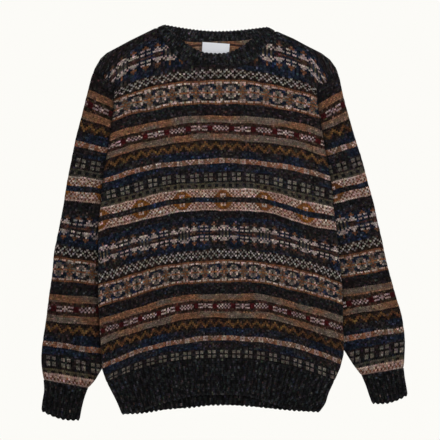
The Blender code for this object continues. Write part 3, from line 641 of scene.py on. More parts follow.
def shell(name, outer, inner, colour, inside, uv, pairs=False, flip=False):
    """A closed shell of cloth between two grids of points.

    Points that coincide are merged, so the grid may be pinched to a line where it
    is clipped, or closed on itself as a tube. Along every open edge a rim joins the
    outer surface to the inner one. With pairs set, the inner surface leaves out the
    middle point of each stitch. colour and inside have one colour for each face of
    the outer and the inner grid, and uv one place for each point of the grid.
    """
    flat = outer.reshape(-1, 3)
    _, first, ids = np.unique(np.round(flat, 2), axis=0, return_index=True,
                              return_inverse=True)
    ids = ids.reshape(outer.shape[:2])
    points = np.concatenate([flat[first], inner.reshape(-1, 3)[first]]) * MM
    count = len(first)

    def corners(grid):
        return np.stack([grid[:-1, :-1], grid[:-1, 1:], grid[1:, 1:], grid[1:, :-1]],
                        axis=2)

    def ring(sides, place, shade, offset, turned):
        """Corner lists with repeats dropped: point, place and shade of each corner."""
        sides, place = sides.reshape(-1, sides.shape[2]), place.reshape(-1, *place.shape[2:])
        shade = shade.reshape(-1, 3)
        if turned:
            sides, place = sides[:, ::-1], place[:, ::-1]
        keep = sides != np.roll(sides, 1, axis=1)
        keep &= (keep.sum(axis=1) >= 3)[:, None]
        totals = keep.sum(axis=1)
        shade = np.repeat(shade, totals, axis=0)
        return sides[keep] + offset, place[keep], shade, totals[totals > 0]

    points_out, uv_out, shade_out, totals_out = ring(corners(ids), corners(uv), colour, 0,
                                                     flip)
    starts = np.concatenate([[0], np.cumsum(totals_out)[:-1]])
    following = np.concatenate([points_out[1:], points_out[:1]])
    following[starts + totals_out - 1] = points_out[starts]
    codes = points_out.astype(np.int64) * count + following
    back = following.astype(np.int64) * count + points_out
    rim = ~np.isin(codes, back)
    on_rim = np.zeros(count, bool)
    on_rim[points_out[rim]] = True
    on_rim[following[rim]] = True

    if pairs:
        six = np.stack([ids[:-1, :-2:2], ids[:-1, 1::2], ids[:-1, 2::2],
                        ids[1:, 2::2], ids[1:, 1::2], ids[1:, :-2:2]], axis=2)
        six[..., 1] = np.where(on_rim[six[..., 1]], six[..., 1], six[..., 0])
        six[..., 4] = np.where(on_rim[six[..., 4]], six[..., 4], six[..., 3])
        place = np.stack([uv[:-1, :-2:2], uv[:-1, 1::2], uv[:-1, 2::2],
                          uv[1:, 2::2], uv[1:, 1::2], uv[1:, :-2:2]], axis=2)
        inner_part = ring(six, place, inside, count, not flip)
    else:
        inner_part = ring(corners(ids), corners(uv), inside, count, not flip)

    i, j = points_out[rim], following[rim]
    edge_points = np.stack([j, i, i + count, j + count], axis=1).reshape(-1)
    edge_uv = np.repeat(uv_out[rim], 4, axis=0)
    edge_shade = np.repeat(shade_out[rim], 4, axis=0)
    loops = np.concatenate([points_out, inner_part[0], edge_points])
    totals = np.concatenate([totals_out, inner_part[3], np.full(len(i), 4)])
    used, loops = np.unique(loops, return_inverse=True)
    return knit_mesh(name, points[used], loops, totals,
                     np.concatenate([shade_out, inner_part[2], edge_shade]),
                     np.concatenate([uv_out, inner_part[1], edge_uv]))


def placed(name, data, location=(0.0, 0.0, 0.0), turn=(0.0, 0.0, 0.0)):
    """A new object in the scene."""
    made = bpy.data.objects.new(name, data)
    made.location, made.rotation_euler = location, turn
    bpy.context.scene.collection.objects.link(made)
    return made


def knit_mesh(name, points, loops, totals, shades, places):
    """A mesh object from points, corner lists, a colour and a place for each corner."""
    mesh = bpy.data.meshes.new(name)
    mesh.vertices.add(len(points))
    mesh.vertices.foreach_set("co", points.astype(np.float32).ravel())
    mesh.loops.add(len(loops))
    mesh.loops.foreach_set("vertex_index", loops.astype(np.int32))
    mesh.polygons.add(len(totals))
    starts = np.concatenate([[0], np.cumsum(totals)[:-1]])
    mesh.polygons.foreach_set("loop_start", starts.astype(np.int32))
    yarn = mesh.attributes.new("yarn", "FLOAT_COLOR", "CORNER")
    colours = np.column_stack([np.clip(shades, 0.0, 1.0), np.ones(len(shades))])
    yarn.data.foreach_set("color", colours.astype(np.float32).ravel())
    layer = mesh.uv_layers.new(name="stitches")
    layer.uv.foreach_set("vector", places.astype(np.float32).ravel())
    mesh.update(calc_edges=True)
    mesh.validate()
    mesh.shade_smooth()
    return placed(name, mesh)


# ---- the chart's colours --------------------------------------------------------
def chart():
    """The whole repeat as letters: a row for each course from the rib upwards."""
    rows = []
    for mirrored, courses in BANDS:
        for letters in reversed(courses):
            if mirrored:
                letters = letters + letters[-2:0:-1]
            rows.append(list((letters * REPEAT_WALES)[:REPEAT_WALES]))
    return np.array(rows)


def patchy(courses, wales, seed):
    """Smooth random shares from 0 to 1, in patches longer along a course than across."""
    draw = np.random.default_rng(seed)
    knots = draw.uniform(0.0, 1.0, (int(courses.max() / PATCH_COURSES) + 3, PATCHES))
    row = courses / PATCH_COURSES
    place = (wales - wales.min()) / PATCH_WALES
    low_row, low_place = np.floor(row).astype(int), np.floor(place).astype(int)
    rise = smooth(0.0, 1.0, row - low_row)[:, None]
    run = smooth(0.0, 1.0, place - low_place)[None, :]
    low = knots[low_row][:, low_place] * (1 - run) + knots[low_row][:, low_place + 1] * run
    high = (knots[low_row + 1][:, low_place] * (1 - run)
            + knots[low_row + 1][:, low_place + 1] * run)
    return smooth(*PATCH_EDGES, low * (1 - rise) + high * rise)


def stitch_letters(courses, wales, plain_above):
    """The chart's letter for each stitch, with plain charcoal above a course."""
    letters = chart()[courses % len(chart())][:, wales % REPEAT_WALES]
    return np.where((courses > plain_above)[:, None], "j", letters)


def yarn_colours(colours, letters, share):
    """Each letter's colour, between its two shades."""
    out = np.zeros(letters.shape + (3,))
    for letter, name, _, _, second, amount in YARNS:
        first = np.array(getattr(colours, name))
        tone = first + (first * second - first) * (share * amount)[..., None]
        out = np.where((letters == letter)[..., None], tone, out)
    return out


def stitch_colours(colours, letters, lining, seed):
    """A colour for each stitch: its yarn in two shades, in patches, with heather.

    Gives the outside's colours, and those of the inside, where the yarns that a
    course doesn't show run as floats behind it.
    """
    courses, wales = np.arange(letters.shape[0]), np.arange(letters.shape[1])
    share = patchy(courses.astype(float), wales.astype(float), seed)
    outside = yarn_colours(colours, letters, share)
    outside = heathered(outside, np.isin(letters, list(DARK_YARNS)), seed + 1)
    inside = (0.5 * outside.mean(axis=1, keepdims=True)
              + 0.5 * np.roll(outside, FLOAT_SHIFT, axis=1)) * FLOAT_TONE
    for start, letter in lining:
        floats = np.full(letters[start:].shape, letter)
        inside[start:] = heathered(yarn_colours(colours, floats, share[start:]),
                                   floats == "N", seed + 2)
    return outside, inside


def heathered(colours, dark, seed):
    """The same colours, each stitch a little brighter or darker and off in hue."""
    draw = np.random.default_rng(seed)
    shape = dark.shape
    swing = draw.normal(0.0, HEATHER, shape) * np.where(dark, DARK_HEATHER, 1.0)
    hue = draw.normal(0.0, TINT, shape + (3,)) * np.where(dark, DARK_HEATHER, 1.0)[..., None]
    fleck = (draw.uniform(0.0, 1.0, shape) < FLECK_SHARE) & dark
    tint = FLECKS[draw.integers(0, len(FLECKS), shape)]
    evens = np.where(dark, *HEATHER_EVENS)[..., None]
    return (colours * np.exp(swing[..., None] + hue - evens)
            * np.where(fleck[..., None], tint, 1.0))


def plain_colours(colour, ribs, seed):
    """Heathered colours for a ribbed piece, times ribs, a painted shade that is paler on the
    ribs than between them.

    A stitch is two columns of faces wide.
    """
    rows, columns = ribs.shape
    draw = np.random.default_rng(seed + 5)
    blotch = np.exp(draw.normal(0.0, RIB_BLOTCH, (rows // 2 + 1, columns // 4 + 1)))
    blotch = np.kron(blotch, np.ones((2, 2)))[:rows, :columns // 2 + 1, None]
    stitches = np.tile(np.array(colour), (rows, columns // 2 + 1, 1)) * blotch
    tone = heathered(stitches, np.ones(stitches.shape[:2], bool), seed)
    return np.repeat(tone, 2, axis=1)[:, :columns] * ribs[..., None]


# ---- the body's courses ---------------------------------------------------------
def course_y(row, x):
    """Height of the course `row` at x.

    A course is an arch: its middle height less a droop that grows with the distance
    from the middle wale to the power 2.2, and less each sag, depth * e^-(r^2), where
    r is how far off its middle is, in halves of its size. The lowest ones settle on to
    the rib's top.
    """
    rib = drawn(RIB_TOP)
    sag = sum(depth * np.exp(-((row - course) / tall) ** 2 - ((x - middle) / wide) ** 2)
              for course, middle, tall, wide, depth in SAGS)

    def arch(number):
        away = (x - at(MIDDLE_WALE, number)) / at(HALF_WIDTH, number)
        droop = np.where(away < 0, at(DROOP_LEFT, number), at(DROOP_RIGHT, number))
        return (at(COURSE_HEIGHT, number) - droop * np.abs(away) ** DROOP_POWER
                - tip_droop(number, x - at(MIDDLE_WALE, number)))

    settle = 1.0 - smooth(0.0, RIB_SETTLE, row)
    arched = arch(row) + (waver(row, x) - sag) * (1.0 - settle)
    return arched + (at(rib, x) - arch(0.0)) * settle


def waver(row, x):
    """How far a course wavers up and down: a sum of height * sin(x/long + turn*row)."""
    return sum(high * np.sin(x / long + turn * row + start)
               for long, turn, start, high in WAVES)


def tip_droop(row, away):
    """How much lower a course lies near a shoulder's tip: slope * (d - w + w e^(-d/w))."""
    total = 0.0
    for side, (start, slope, wide) in ((-1.0, TIP_LEFT), (1.0, TIP_RIGHT)):
        d = np.maximum(side * away - start, 0.0)
        total = total + slope * (d - wide + wide * np.exp(-d / wide))
    return total * smooth(*TIP_COURSES, row)


def course_ends(rows, side):
    """x where each course meets the body's edge on one side, by close steps outwards."""
    sign = -1.0 if side == "left" else 1.0
    x = sign * np.linspace(*END_SEARCH)[None, :]
    edge = body_edge(side)
    y = course_y(rows[:, None], x)
    past = sign * (x - x_on(edge, y))
    first = np.maximum((past > 0).argmax(axis=1), 1)
    line = np.arange(len(rows))
    before, after = past[line, first - 1], past[line, first]
    share = before / (before - after)
    return x[0, first - 1] + share * (x[0, first] - x[0, first - 1])


def top_line(neck_seam):
    """A panel's top edge as x and y, from one shoulder's tip to the other's."""
    neck = drawn(neck_seam, NECK_POINTS)[1:-1]
    return np.vstack([SHOULDER[:, :2], neck, SHOULDER[::-1, 2:]])


def body_piece(name, neck_seam, upper, sizes, colours):
    """Front or back: courses and wales clipped at the sides, shoulders and neck."""
    sign = 1.0 if upper else -1.0
    rows = np.arange(BODY_COURSES + 1.0)
    row = rows[:, None]
    step = 0.5 if upper else 1.0
    wale = np.arange(-(BODY_WALES + 0.5), BODY_WALES + 0.51, step)[None, :]
    left, right = course_ends(rows, "left")[:, None], course_ends(rows, "right")[:, None]
    fold_left, fold_right = side_fold(course_y(row, left)), side_fold(course_y(row, right))
    low, high = left - FOLD_EXTRA * fold_left, right + FOLD_EXTRA * fold_right
    flat = wale * at(WALE_WIDTH, row)
    past = np.maximum(np.abs(flat) - TIP_LEFT[0], 0.0) * smooth(*TIP_COURSES, row)
    closer = past - past / (1.0 + past / TIP_CLOSER)
    spread = at(MIDDLE_WALE, row) + np.sign(flat) * (np.abs(flat) - closer)
    free = (spread > low) & (spread < high)
    spread = np.clip(spread, low, high)
    nearer_left = spread - low < high - spread
    arc = np.where(nearer_left, spread - low, high - spread)
    fold = np.where(nearer_left, fold_left, fold_right)
    inwards, rise, lean = rolled(arc, fold)
    x = np.where(nearer_left, left + inwards, right - inwards)
    y = course_y(row, x)

    top = top_line(neck_seam)
    over = y - at(top, x)
    above = over > 0
    first = np.where(above.any(axis=0), above.argmax(axis=0), len(rows) - 1)
    line = np.arange(x.shape[1])
    before, after = over[first - 1, line], over[first, line]
    share = np.clip(before / np.minimum(before - after, -1e-6), 0.0, 1.0)
    stop_x = x[first - 1, line] + share * (x[first, line] - x[first - 1, line])
    stop_y = at(top, stop_x)
    frozen = row >= first[None, :]
    x, y = np.where(frozen, stop_x, x), np.where(frozen, stop_y, y)
    free &= ~frozen

    near = shoulder_distance(x, y)
    turn = np.clip(1.0 - near / FOLD_RADIUS, 0.0, 1.0)
    rise = rise * np.sqrt(1.0 - turn * turn)
    out, up = SHOULDER_WAY
    tilt = np.dstack([np.where(nearer_left, lean, -lean) * np.sqrt(1.0 - turn * turn)
                      + np.where(x < 0, out, -out) * turn, -up * turn])
    neck = drawn(neck_seam, NECK_POINTS)
    to_neck = line_distance(x, y, neck)
    dip = np.maximum((1.0 - smooth(0.0, SEAM_WIDE, arc)) * (1.0 - fold),
                     1.0 - smooth(0.0, SEAM_WIDE, to_neck))
    dip = np.maximum(dip, JOIN_DIP * (1.0 - smooth(0.0, JOIN_COURSES, row)) + 0.0 * x)
    rough = sizes.ripple / MM * ripple(x, y) * smooth(0.0, PUFF_EASE, np.minimum(arc, near))
    lift = body_lift(x, y) + FOLD_RADIUS
    if upper:
        z = lift + FOLD_RADIUS * rise + front_puff(x, y) + np.maximum(rough, -DENT)
    else:
        z = lift - FOLD_RADIUS * rise
    relief = -sizes.seam_depth / MM * dip
    draw = np.random.default_rng(BOBBLE_SEEDS["body"])
    if upper:
        relief -= np.where(free, draw.uniform(0.0, sizes.bobble / MM, relief.shape), 0.0)
        relief[:, ::2] -= np.where(free, sizes.stitch_relief / MM, 0.0)[:, ::2]
    outer, inner = wall(np.dstack([x, y, z]), tilt, sign, relief, sizes.cloth / MM)
    if upper:
        outer, inner = lowered_middles(outer, free), lowered_middles(inner, free)
    letters = stitch_letters(np.arange(BODY_COURSES), np.arange(-BODY_WALES, BODY_WALES + 1),
                             YOKE_COURSE)
    outside, inside = stitch_colours(colours, letters, [] if upper else LINING,
                                     YARN_SEEDS["front" if upper else "back"])
    # painted shade in the dips along the seams, the neck and the join on to the rib
    shade = 1.0 - sizes.seam_painted_shade * dip
    if upper:
        outside = np.repeat(outside, 2, axis=1)
    uv = np.dstack(np.broadcast_arrays(wale + 0.5, row))
    return shell(name, outer, inner, outside * face_mean(shade)[..., None], inside, uv,
                 pairs=upper, flip=not upper)


# ---- tubes: sleeves and cuffs ---------------------------------------------------
def tube_layers(outer_edge, inner_edge, reach, inner_fold):
    """A flattened tube seen from above, from its outer fold round to its inner edge.

    reach is the distance along the cloth from the outer fold, above 0 on the upper
    layer and below 0 on the lower one, and is clipped at the inner edge. Gives the
    places, the tilt, the rise, and the distance left to the inner edge.
    """
    run = inner_edge - outer_edge
    wide = np.linalg.norm(run, axis=1)[:, None]
    way = run / wide
    total = wide + FOLD_EXTRA * (1.0 + inner_fold[:, None])
    free = np.abs(reach) < total
    arc = np.clip(np.abs(reach), 0.0, total)
    left_over = total - arc
    near_outer = arc < left_over
    outwards, rise_outer, lean_outer = rolled(arc, 1.0)
    inwards, rise_inner, lean_inner = rolled(left_over, inner_fold[:, None])
    distance = np.where(near_outer, outwards, wide - inwards)
    rise = np.where(near_outer, rise_outer, rise_inner) * np.sign(reach)
    lean = np.where(near_outer, lean_outer, -lean_inner)
    xy = outer_edge[:, None] + way[:, None] * distance[..., None]
    tilt = way[:, None] * lean[..., None]
    return xy, tilt, rise, left_over, distance / wide, free


def sleeve_edges(side):
    """Both ends of each of the sleeve's courses: on the outer fold and the inner edge.

    A course runs straight from the outer fold to the armhole or to where it goes
    under the body, and on along the same line to the hidden fold.
    """
    rows = np.arange(SLEEVE_ROWS + 1.0)
    table = SLEEVE_COURSES[side]
    outer, inner = sleeve_outer_edge(side), sleeve_inner_edge(side)
    start_y = at(table, rows, 1)
    start = np.column_stack([x_on(outer, start_y), start_y])
    seen_y = at(table, rows, 2)
    sign = -1.0 if side == "left" else 1.0
    edge = body_edge(side)
    body = x_on(edge, seen_y)
    fold = x_on(inner, seen_y)
    seen = np.column_stack([sign * np.maximum(sign * body, sign * fold), seen_y])
    share = np.linspace(*FOLD_SEARCH)[None, :]
    x = start[:, :1] + share * (seen[:, :1] - start[:, :1])
    y = start[:, 1:] + share * (seen[:, 1:] - start[:, 1:])
    past = sign * (x_on(inner, y) - x) > 0
    first = past.argmax(axis=1)
    line = np.arange(len(rows))
    end = np.column_stack([x[line, first], y[line, first]])
    end[0] = SLEEVE_BELOW[side][-1, 2:]
    end[-1] = ARMHOLE[-1, column(side):column(side) + 2]
    return start, end


def sleeve_piece(side, sizes, colours):
    """A sleeve, knitted round, from the cuff up to the armhole."""
    start, end = sleeve_edges(side)
    inner_fold = side_fold(end[:, 1])
    wale = np.arange(-(SLEEVE_WALES + 0.5), SLEEVE_WALES + 0.51, 0.5)[None, :]
    row = np.arange(SLEEVE_ROWS + 1.0)[:, None]
    reach = wale * SLEEVE_GAUGE + 0.0 * row
    xy, tilt, rise, left_over, _, free = tube_layers(start, end, reach, inner_fold)
    x, y = xy[..., 0], xy[..., 1]
    from_edge = np.minimum(np.abs(reach), left_over)
    y = y + waver(row, x) * smooth(0.0, WAVER_EASE, from_edge) * smooth(
        0.0, WAVER_COURSES, row) * (
        1.0 - smooth(SLEEVE_ROWS - WAVER_COURSES, SLEEVE_ROWS, row))
    up = reach > 0
    edge_dip = (1.0 - smooth(0.0, SEAM_WIDE, left_over)) * (1.0 - inner_fold[:, None])
    top_dip = 1.0 - smooth(0.0, JOIN_COURSES, SLEEVE_ROWS - row)
    cuff_dip = JOIN_DIP * (1.0 - smooth(0.0, JOIN_COURSES, row))
    dip = np.maximum(edge_dip, np.maximum(top_dip, cuff_dip) + 0.0 * x)
    rough = sizes.ripple / MM * ripple(x, y) * smooth(0.0, PUFF_EASE, from_edge)
    z = sleeve_lift(side, x, y) + FOLD_RADIUS + FOLD_RADIUS * rise
    z = z + np.where(up, sleeve_puff(side, x, y) + np.maximum(rough, -DENT), 0.0)
    relief = -sizes.seam_depth / MM * dip
    relief[:, ::2] -= np.where(free, sizes.stitch_relief / MM, 0.0)[:, ::2]
    draw = np.random.default_rng(BOBBLE_SEEDS["sleeve"])
    relief -= np.where(free, draw.uniform(0.0, sizes.bobble / MM, relief.shape), 0.0)
    outer, inner = wall(np.dstack([x, y, z]), tilt, np.where(up, 1.0, -1.0), relief,
                        sizes.cloth / MM)
    free[-1] = False
    outer, inner = lowered_middles(outer, free), lowered_middles(inner, free)
    stitches = np.arange(-SLEEVE_WALES, SLEEVE_WALES + 1) + SLEEVE_OFFSET[side]
    letters = stitch_letters(np.arange(SLEEVE_ROWS) + SLEEVE_CHART_START, stitches,
                             SLEEVE_PLAIN)
    strip = np.array([list(line) for line in reversed(CUFF_STRIP)])
    letters[:len(strip)] = strip[:, stitches % strip.shape[1]]
    outside, inside = stitch_colours(colours, letters, [], YARN_SEEDS[side])
    # how far a point lies out from the body's edge, for the body's painted shadow on the
    # sleeve
    edge = body_edge(side)
    beside = np.maximum(np.abs(x) - np.abs(x_on(edge, y)), 0.0)
    # painted shade: darker in the seam dips, in the body's shadow beside it, and over the
    # whole sleeve
    shade = SLEEVE_PAINTED_SHADE[side] * (1.0 - sizes.seam_painted_shade * dip) * (
        1.0 - TUCK_SHADE * up * np.exp(-beside / TUCK_SHADE_WIDE))
    outside = np.repeat(outside, 2, axis=1) * face_mean(shade)[..., None]
    uv = np.dstack(np.broadcast_arrays(wale + 0.5, row))
    return shell("sleeve_" + side + "_knit", outer, inner, outside, inside, uv,
                 pairs=True, flip=side == "right")


def rib_wave(place, ribs):
    """1 on the crest of each rib and 0 between them, with broad crests."""
    wave = 0.5 - 0.5 * np.cos(2 * np.pi * ribs * place)
    return wave ** CREST_POWER


def uneven(place, ribs, seed):
    """How far each rib's end stands out, as a share of the usual."""
    draw = np.random.default_rng(seed)
    return np.interp(np.abs(place) * ribs, np.arange(ribs + 1.0),
                     draw.uniform(*END_RANGE, ribs + 1))


def rounded_edge(distance):
    """How far the surface sinks near a free edge: a quarter circle's corner."""
    turn = np.clip(1.0 - distance / EDGE_ROUND, 0.0, 1.0)
    return EDGE_ROUND * (1.0 - np.sqrt(1.0 - turn * turn))


def cuff_piece(side, sizes, colours):
    """A ribbed cuff, round the sleeve's end."""
    share = np.linspace(1.0, 0.0, CUFF_ROWS)
    outer_edge, inner_edge = along(CUFF[side][:, :2], share), along(CUFF[side][:, 2:], share)
    columns = 2 * CUFF_RIBS * RIB_STEPS + 1
    place = np.linspace(-1.0, 1.0, columns)[None, :]
    now_wide = np.linalg.norm(outer_edge - inner_edge, axis=1)[:, None] + 2 * FOLD_EXTRA
    reach = place * now_wide
    xy, tilt, rise, _, over, _ = tube_layers(outer_edge, inner_edge, reach,
                                             np.ones(CUFF_ROWS))
    down = share[:, None]
    wave = rib_wave(np.abs(place) + 0.0 * down, CUFF_RIBS)
    xy = xy.copy()
    xy[..., 1] -= down ** 3 * np.sin(np.pi * over) * BOTTOM_BOW
    xy[..., 1] -= (smooth(SCALLOP_START, 1.0, down) * (wave - 0.5) * sizes.scallop / MM
                   * uneven(place, CUFF_RIBS, CUFF_SEEDS[1]))
    x, y = xy[..., 0], xy[..., 1]
    up = (place > 0) & (down >= 0)
    z = sleeve_lift(side, x, y) + FOLD_RADIUS + FOLD_RADIUS * rise
    height = length(outer_edge)
    to_end = (1.0 - down) * height
    relief = sizes.rib_height / MM * (wave - 1.0) * smooth(0.0, CUFF_START,
                                                                down * height)
    relief = relief + np.where(up, RIB_PROUD * sizes.rib_height / MM, 0.0)
    relief = relief - rounded_edge(to_end) - sizes.seam_depth / MM * JOIN_DIP * (
        1.0 - smooth(0.0, SEAM_WIDE, down * height))
    outer, inner = wall(np.dstack([x, y, z]), tilt, np.where(up, 1.0, -1.0), relief,
                        sizes.cloth / MM)
    # painted shade between the ribs, and the sleeve's painted shade over the whole cuff
    tone = plain_colours(colours.charcoal, rib_painted_shade(wave) * SLEEVE_PAINTED_SHADE[side],
                         CUFF_SEEDS[0])
    uv = np.dstack(np.broadcast_arrays(place * CUFF_RIBS * RIB_WALES,
                                       -down * height / RIB_COURSE))
    return shell("cuff_" + side + "_rib", outer, inner, tone, tone * CUFF_INSIDE, uv,
                 flip=side == "right")


def rib_painted_shade(wave):
    """Painted shade of each face of a ribbed piece: darker between the ribs, paler on their
    crests.
    """
    return RIB_VALLEY_PAINTED_SHADE + RIB_CREST_PAINTED_LIGHT * face_mean(wave)


# ---- ribbed welts ---------------------------------------------------------------
def hem_piece(name, edge, upper, sizes, colours):
    """The front's or the back's hem rib, from the free edge up to the rib's top."""
    sign = 1.0 if upper else -1.0
    seeds = HEM_SEEDS["front" if upper else "back"]
    place = np.linspace(0.0, 1.0, HEM_RIBS * RIB_STEPS + 1)
    shares, rise, lean = rolled_strip(place, RIB_TOP)
    top, bottom = along(RIB_TOP, shares), along(edge, shares)
    up = np.linspace(0.0, 1.0, HEM_ROWS)
    left, right = along(HEM_SIDE[::-1, :2], up), along(HEM_SIDE[::-1, 2:], up)
    xy = patch(bottom, top, left, right)
    row = up[:, None]
    wave = rib_wave(place[None, :] + 0.0 * row, HEM_RIBS)
    height = np.linalg.norm(top - bottom, axis=1)[None, :]
    xy[..., 1] -= ((1.0 - smooth(0.0, HEM_SCALLOP, row)) * (wave - 0.5) * sizes.scallop
                   / MM * uneven(place, HEM_RIBS, seeds[1])[None, :])
    x, y = xy[..., 0], xy[..., 1]
    rise, lean = rise[None, :] + 0.0 * row, lean[None, :] + 0.0 * row
    tilt = np.dstack([lean, 0.0 * lean])
    lift = body_lift(x, y) + FOLD_RADIUS
    if upper:
        z = lift + FOLD_RADIUS * rise + front_puff(x, y)
        proud = RIB_PROUD * sizes.rib_height / MM
    else:
        z = lift - FOLD_RADIUS * rise
        proud = 0.0
    relief = sizes.rib_height / MM * (wave - 1.0) + proud
    seam = 1.0 - smooth(0.0, SEAM_WIDE, (1.0 - row) * height)
    relief = (relief * (1.0 - SEAM_FLATTENS * seam)
              - sizes.seam_depth / MM * JOIN_DIP * seam)
    relief = relief - rounded_edge(row * height)
    outer, inner = wall(np.dstack([x, y, z]), tilt, sign, relief, sizes.cloth / MM)
    if not upper:
        inner[..., 2] += sizes.rib_height / MM * (0.5 - wave) * (rise > FLAT_RISE)
    tone = plain_colours(colours.charcoal, rib_painted_shade(wave), seeds[0])
    # painted highlight on the free edge's course
    tone[0] *= 1.0 + sizes.edge_painted_highlight
    inside = plain_colours(colours.charcoal, rib_painted_shade(1.0 - wave), HEM_SEEDS["inside"])
    uv = np.dstack(np.broadcast_arrays(place[None, :] * HEM_RIBS * RIB_WALES,
                                       row * height / RIB_COURSE))
    return shell(name, outer, inner, tone, inside, uv, flip=not upper)


def neckband_piece(sizes, colours):
    """The neckband: a ribbed ring, folded at the two neck corners.

    Half of it runs along the front neck, facing up, and half along the back neck,
    facing down. Each half turns over both corners as a quarter circle.
    """
    place = np.linspace(0.0, 1.0, NECK_RIBS * RIB_STEPS // 2 + 1)
    up = np.linspace(0.0, 1.0, NECK_ROWS)[:, None]
    halves = []
    for seam, edge, sign in ((NECK_FRONT_SEAM, NECK_FRONT_EDGE, 1.0),
                             (NECK_BACK_SEAM, NECK_BACK_EDGE, -1.0)):
        shares, rise, lean = rolled_strip(place, seam)
        lower, free_edge = along(seam, shares), along(edge, shares)
        xy = lower[None] * (1.0 - up[..., None]) + free_edge[None] * up[..., None]
        wide = np.linalg.norm(free_edge - lower, axis=1)[None, :]
        way = (free_edge - lower) / wide.T
        wave = rib_wave(place[None, :] + 0.0 * up, NECK_RIBS // 2)
        stand_out = smooth(SCALLOP_START, 1.0, up) * (wave - 0.5) * sizes.scallop / MM
        xy = xy + stand_out[..., None] * way
        x, y = xy[..., 0], xy[..., 1]
        rise, lean = rise[None, :] + 0.0 * up, lean[None, :] + 0.0 * up
        z = FOLD_RADIUS + sign * FOLD_RADIUS * rise
        z = z + (front_puff(x, y) if sign > 0 else 0.0)
        relief = BAND_RELIEF * sizes.rib_height / MM * (wave - 0.5)
        if sign < 0:
            relief = np.minimum(relief, 0.0)
        seam_dip = 1.0 - smooth(0.0, SEAM_WIDE, up * wide)
        relief = (relief * (1.0 - SEAM_FLATTENS * seam_dip)
                  - sizes.seam_depth / MM * seam_dip)
        relief = relief - rounded_edge((1.0 - up) * wide)
        outer, inner = wall(np.dstack([x, y, z]), np.dstack([lean, 0.0 * lean]), sign,
                            relief, sizes.cloth / MM)
        if sign < 0:
            inner[..., 2] += 0.5 * sizes.rib_height / MM * (0.5 - wave) * (rise > FLAT_RISE)
        uv = np.dstack(np.broadcast_arrays(
            (place if sign > 0 else 2.0 - place)[None, :] * NECK_RIBS * RIB_WALES / 2,
            up * wide / RIB_COURSE))
        halves.append((outer, inner, wave, uv))
    front, back = halves
    outer, inner, uv = (np.concatenate([front[i], back[i][:, -2::-1]], axis=1)
                        for i in (0, 1, 3))
    wave = np.concatenate([front[2], back[2][:, -2::-1]], axis=1)
    shades = BAND_TONES[0] + BAND_TONES[1] * rib_painted_shade(wave)
    tone, inside = (plain_colours(colours.charcoal, shades, seed) for seed in BAND_SEEDS)
    return shell("neckband_rib", outer, inner, tone, inside, uv)


def label_piece(colours):
    """The label: a thin woven strip with soft corners, a little wavy."""
    u = np.linspace(-1.0, 1.0, 41)[None, :]
    v = np.linspace(-1.0, 1.0, 23)[:, None]
    wide, tall = LABEL_SIZE[0] / 2, LABEL_SIZE[1] / 2
    x, y = wide * u + 0.0 * v, tall * v + 0.0 * u
    edge = np.minimum(wide - np.abs(x), tall - np.abs(y))
    turn = np.radians(LABEL_TURN)
    place_x = LABEL_MIDDLE[0] + x * np.cos(turn) - y * np.sin(turn)
    place_y = LABEL_MIDDLE[1] + x * np.sin(turn) + y * np.cos(turn)
    high, long, broad = LABEL_WAVE
    wavy = high * (1.0 + np.sin(x / long) * np.cos(y / broad))
    deep, middle, groove = LABEL_GROOVE
    stitched = deep * np.exp(-((edge - middle) / groove) ** 2)
    sunk = LABEL_SOFT[0] * np.exp(-edge / LABEL_SOFT[1])
    top = LABEL_HEIGHT + LABEL_THICK + wavy - stitched - sunk
    outer = np.dstack([place_x, place_y, top])
    inner = np.dstack([place_x, place_y, LABEL_HEIGHT + 0.0 * top])
    tone = np.tile(np.array(colours.label), (len(v) - 1, u.shape[1] - 1, 1))
    return shell("label_woven", outer, inner, tone, tone, np.dstack([x, y]))


# ---- materials ------------------------------------------------------------------
def feed(tree, made, inputs):
    """Set a node's inputs: a link where the value is a socket, and else its value."""
    for key, value in inputs.items():
        if isinstance(value, bpy.types.NodeSocket):
            tree.links.new(value, made.inputs[key])
        else:
            made.inputs[key].default_value = value


def node(tree, kind, inputs, **values):
    """A new node with the given inputs and properties, giving its outputs."""
    made = tree.nodes.new(kind)
    for key, value in values.items():
        setattr(made, key, value)
    feed(tree, made, inputs)
    return made.outputs


def maths(tree, operation, *terms, clamp=False):
    """The output of a Math node on links or numbers."""
    return node(tree, "ShaderNodeMath", dict(enumerate(terms)), operation=operation,
                use_clamp=clamp)[0]


def scaled(tree, colour, share):
    """A colour times a number."""
    return node(tree, "ShaderNodeVectorMath", {0: colour, "Scale": share},
                operation="SCALE")[0]


def streaks(tree, place, scale, detail):
    """Noise in short streaks, stretched by the scale along and across the stitches."""
    stretched = node(tree, "ShaderNodeMapping", {"Vector": place, "Scale": scale})[0]
    return node(tree, "ShaderNodeTexNoise",
                {"Vector": stretched, "Scale": 1.0, "Detail": detail})[0]


def group_with(name, inputs, outputs):
    """An empty node group with named sockets: the group, what it is given, its end."""
    tree = bpy.data.node_groups.new(name, "ShaderNodeTree")
    for label, kind, default in inputs:
        socket = tree.interface.new_socket(name=label, in_out="INPUT", socket_type=kind)
        if default is not None:
            socket.default_value = default
    for label, kind in outputs:
        tree.interface.new_socket(name=label, in_out="OUTPUT", socket_type=kind)
    return tree, node(tree, "NodeGroupInput", {}), tree.nodes.new("NodeGroupOutput")


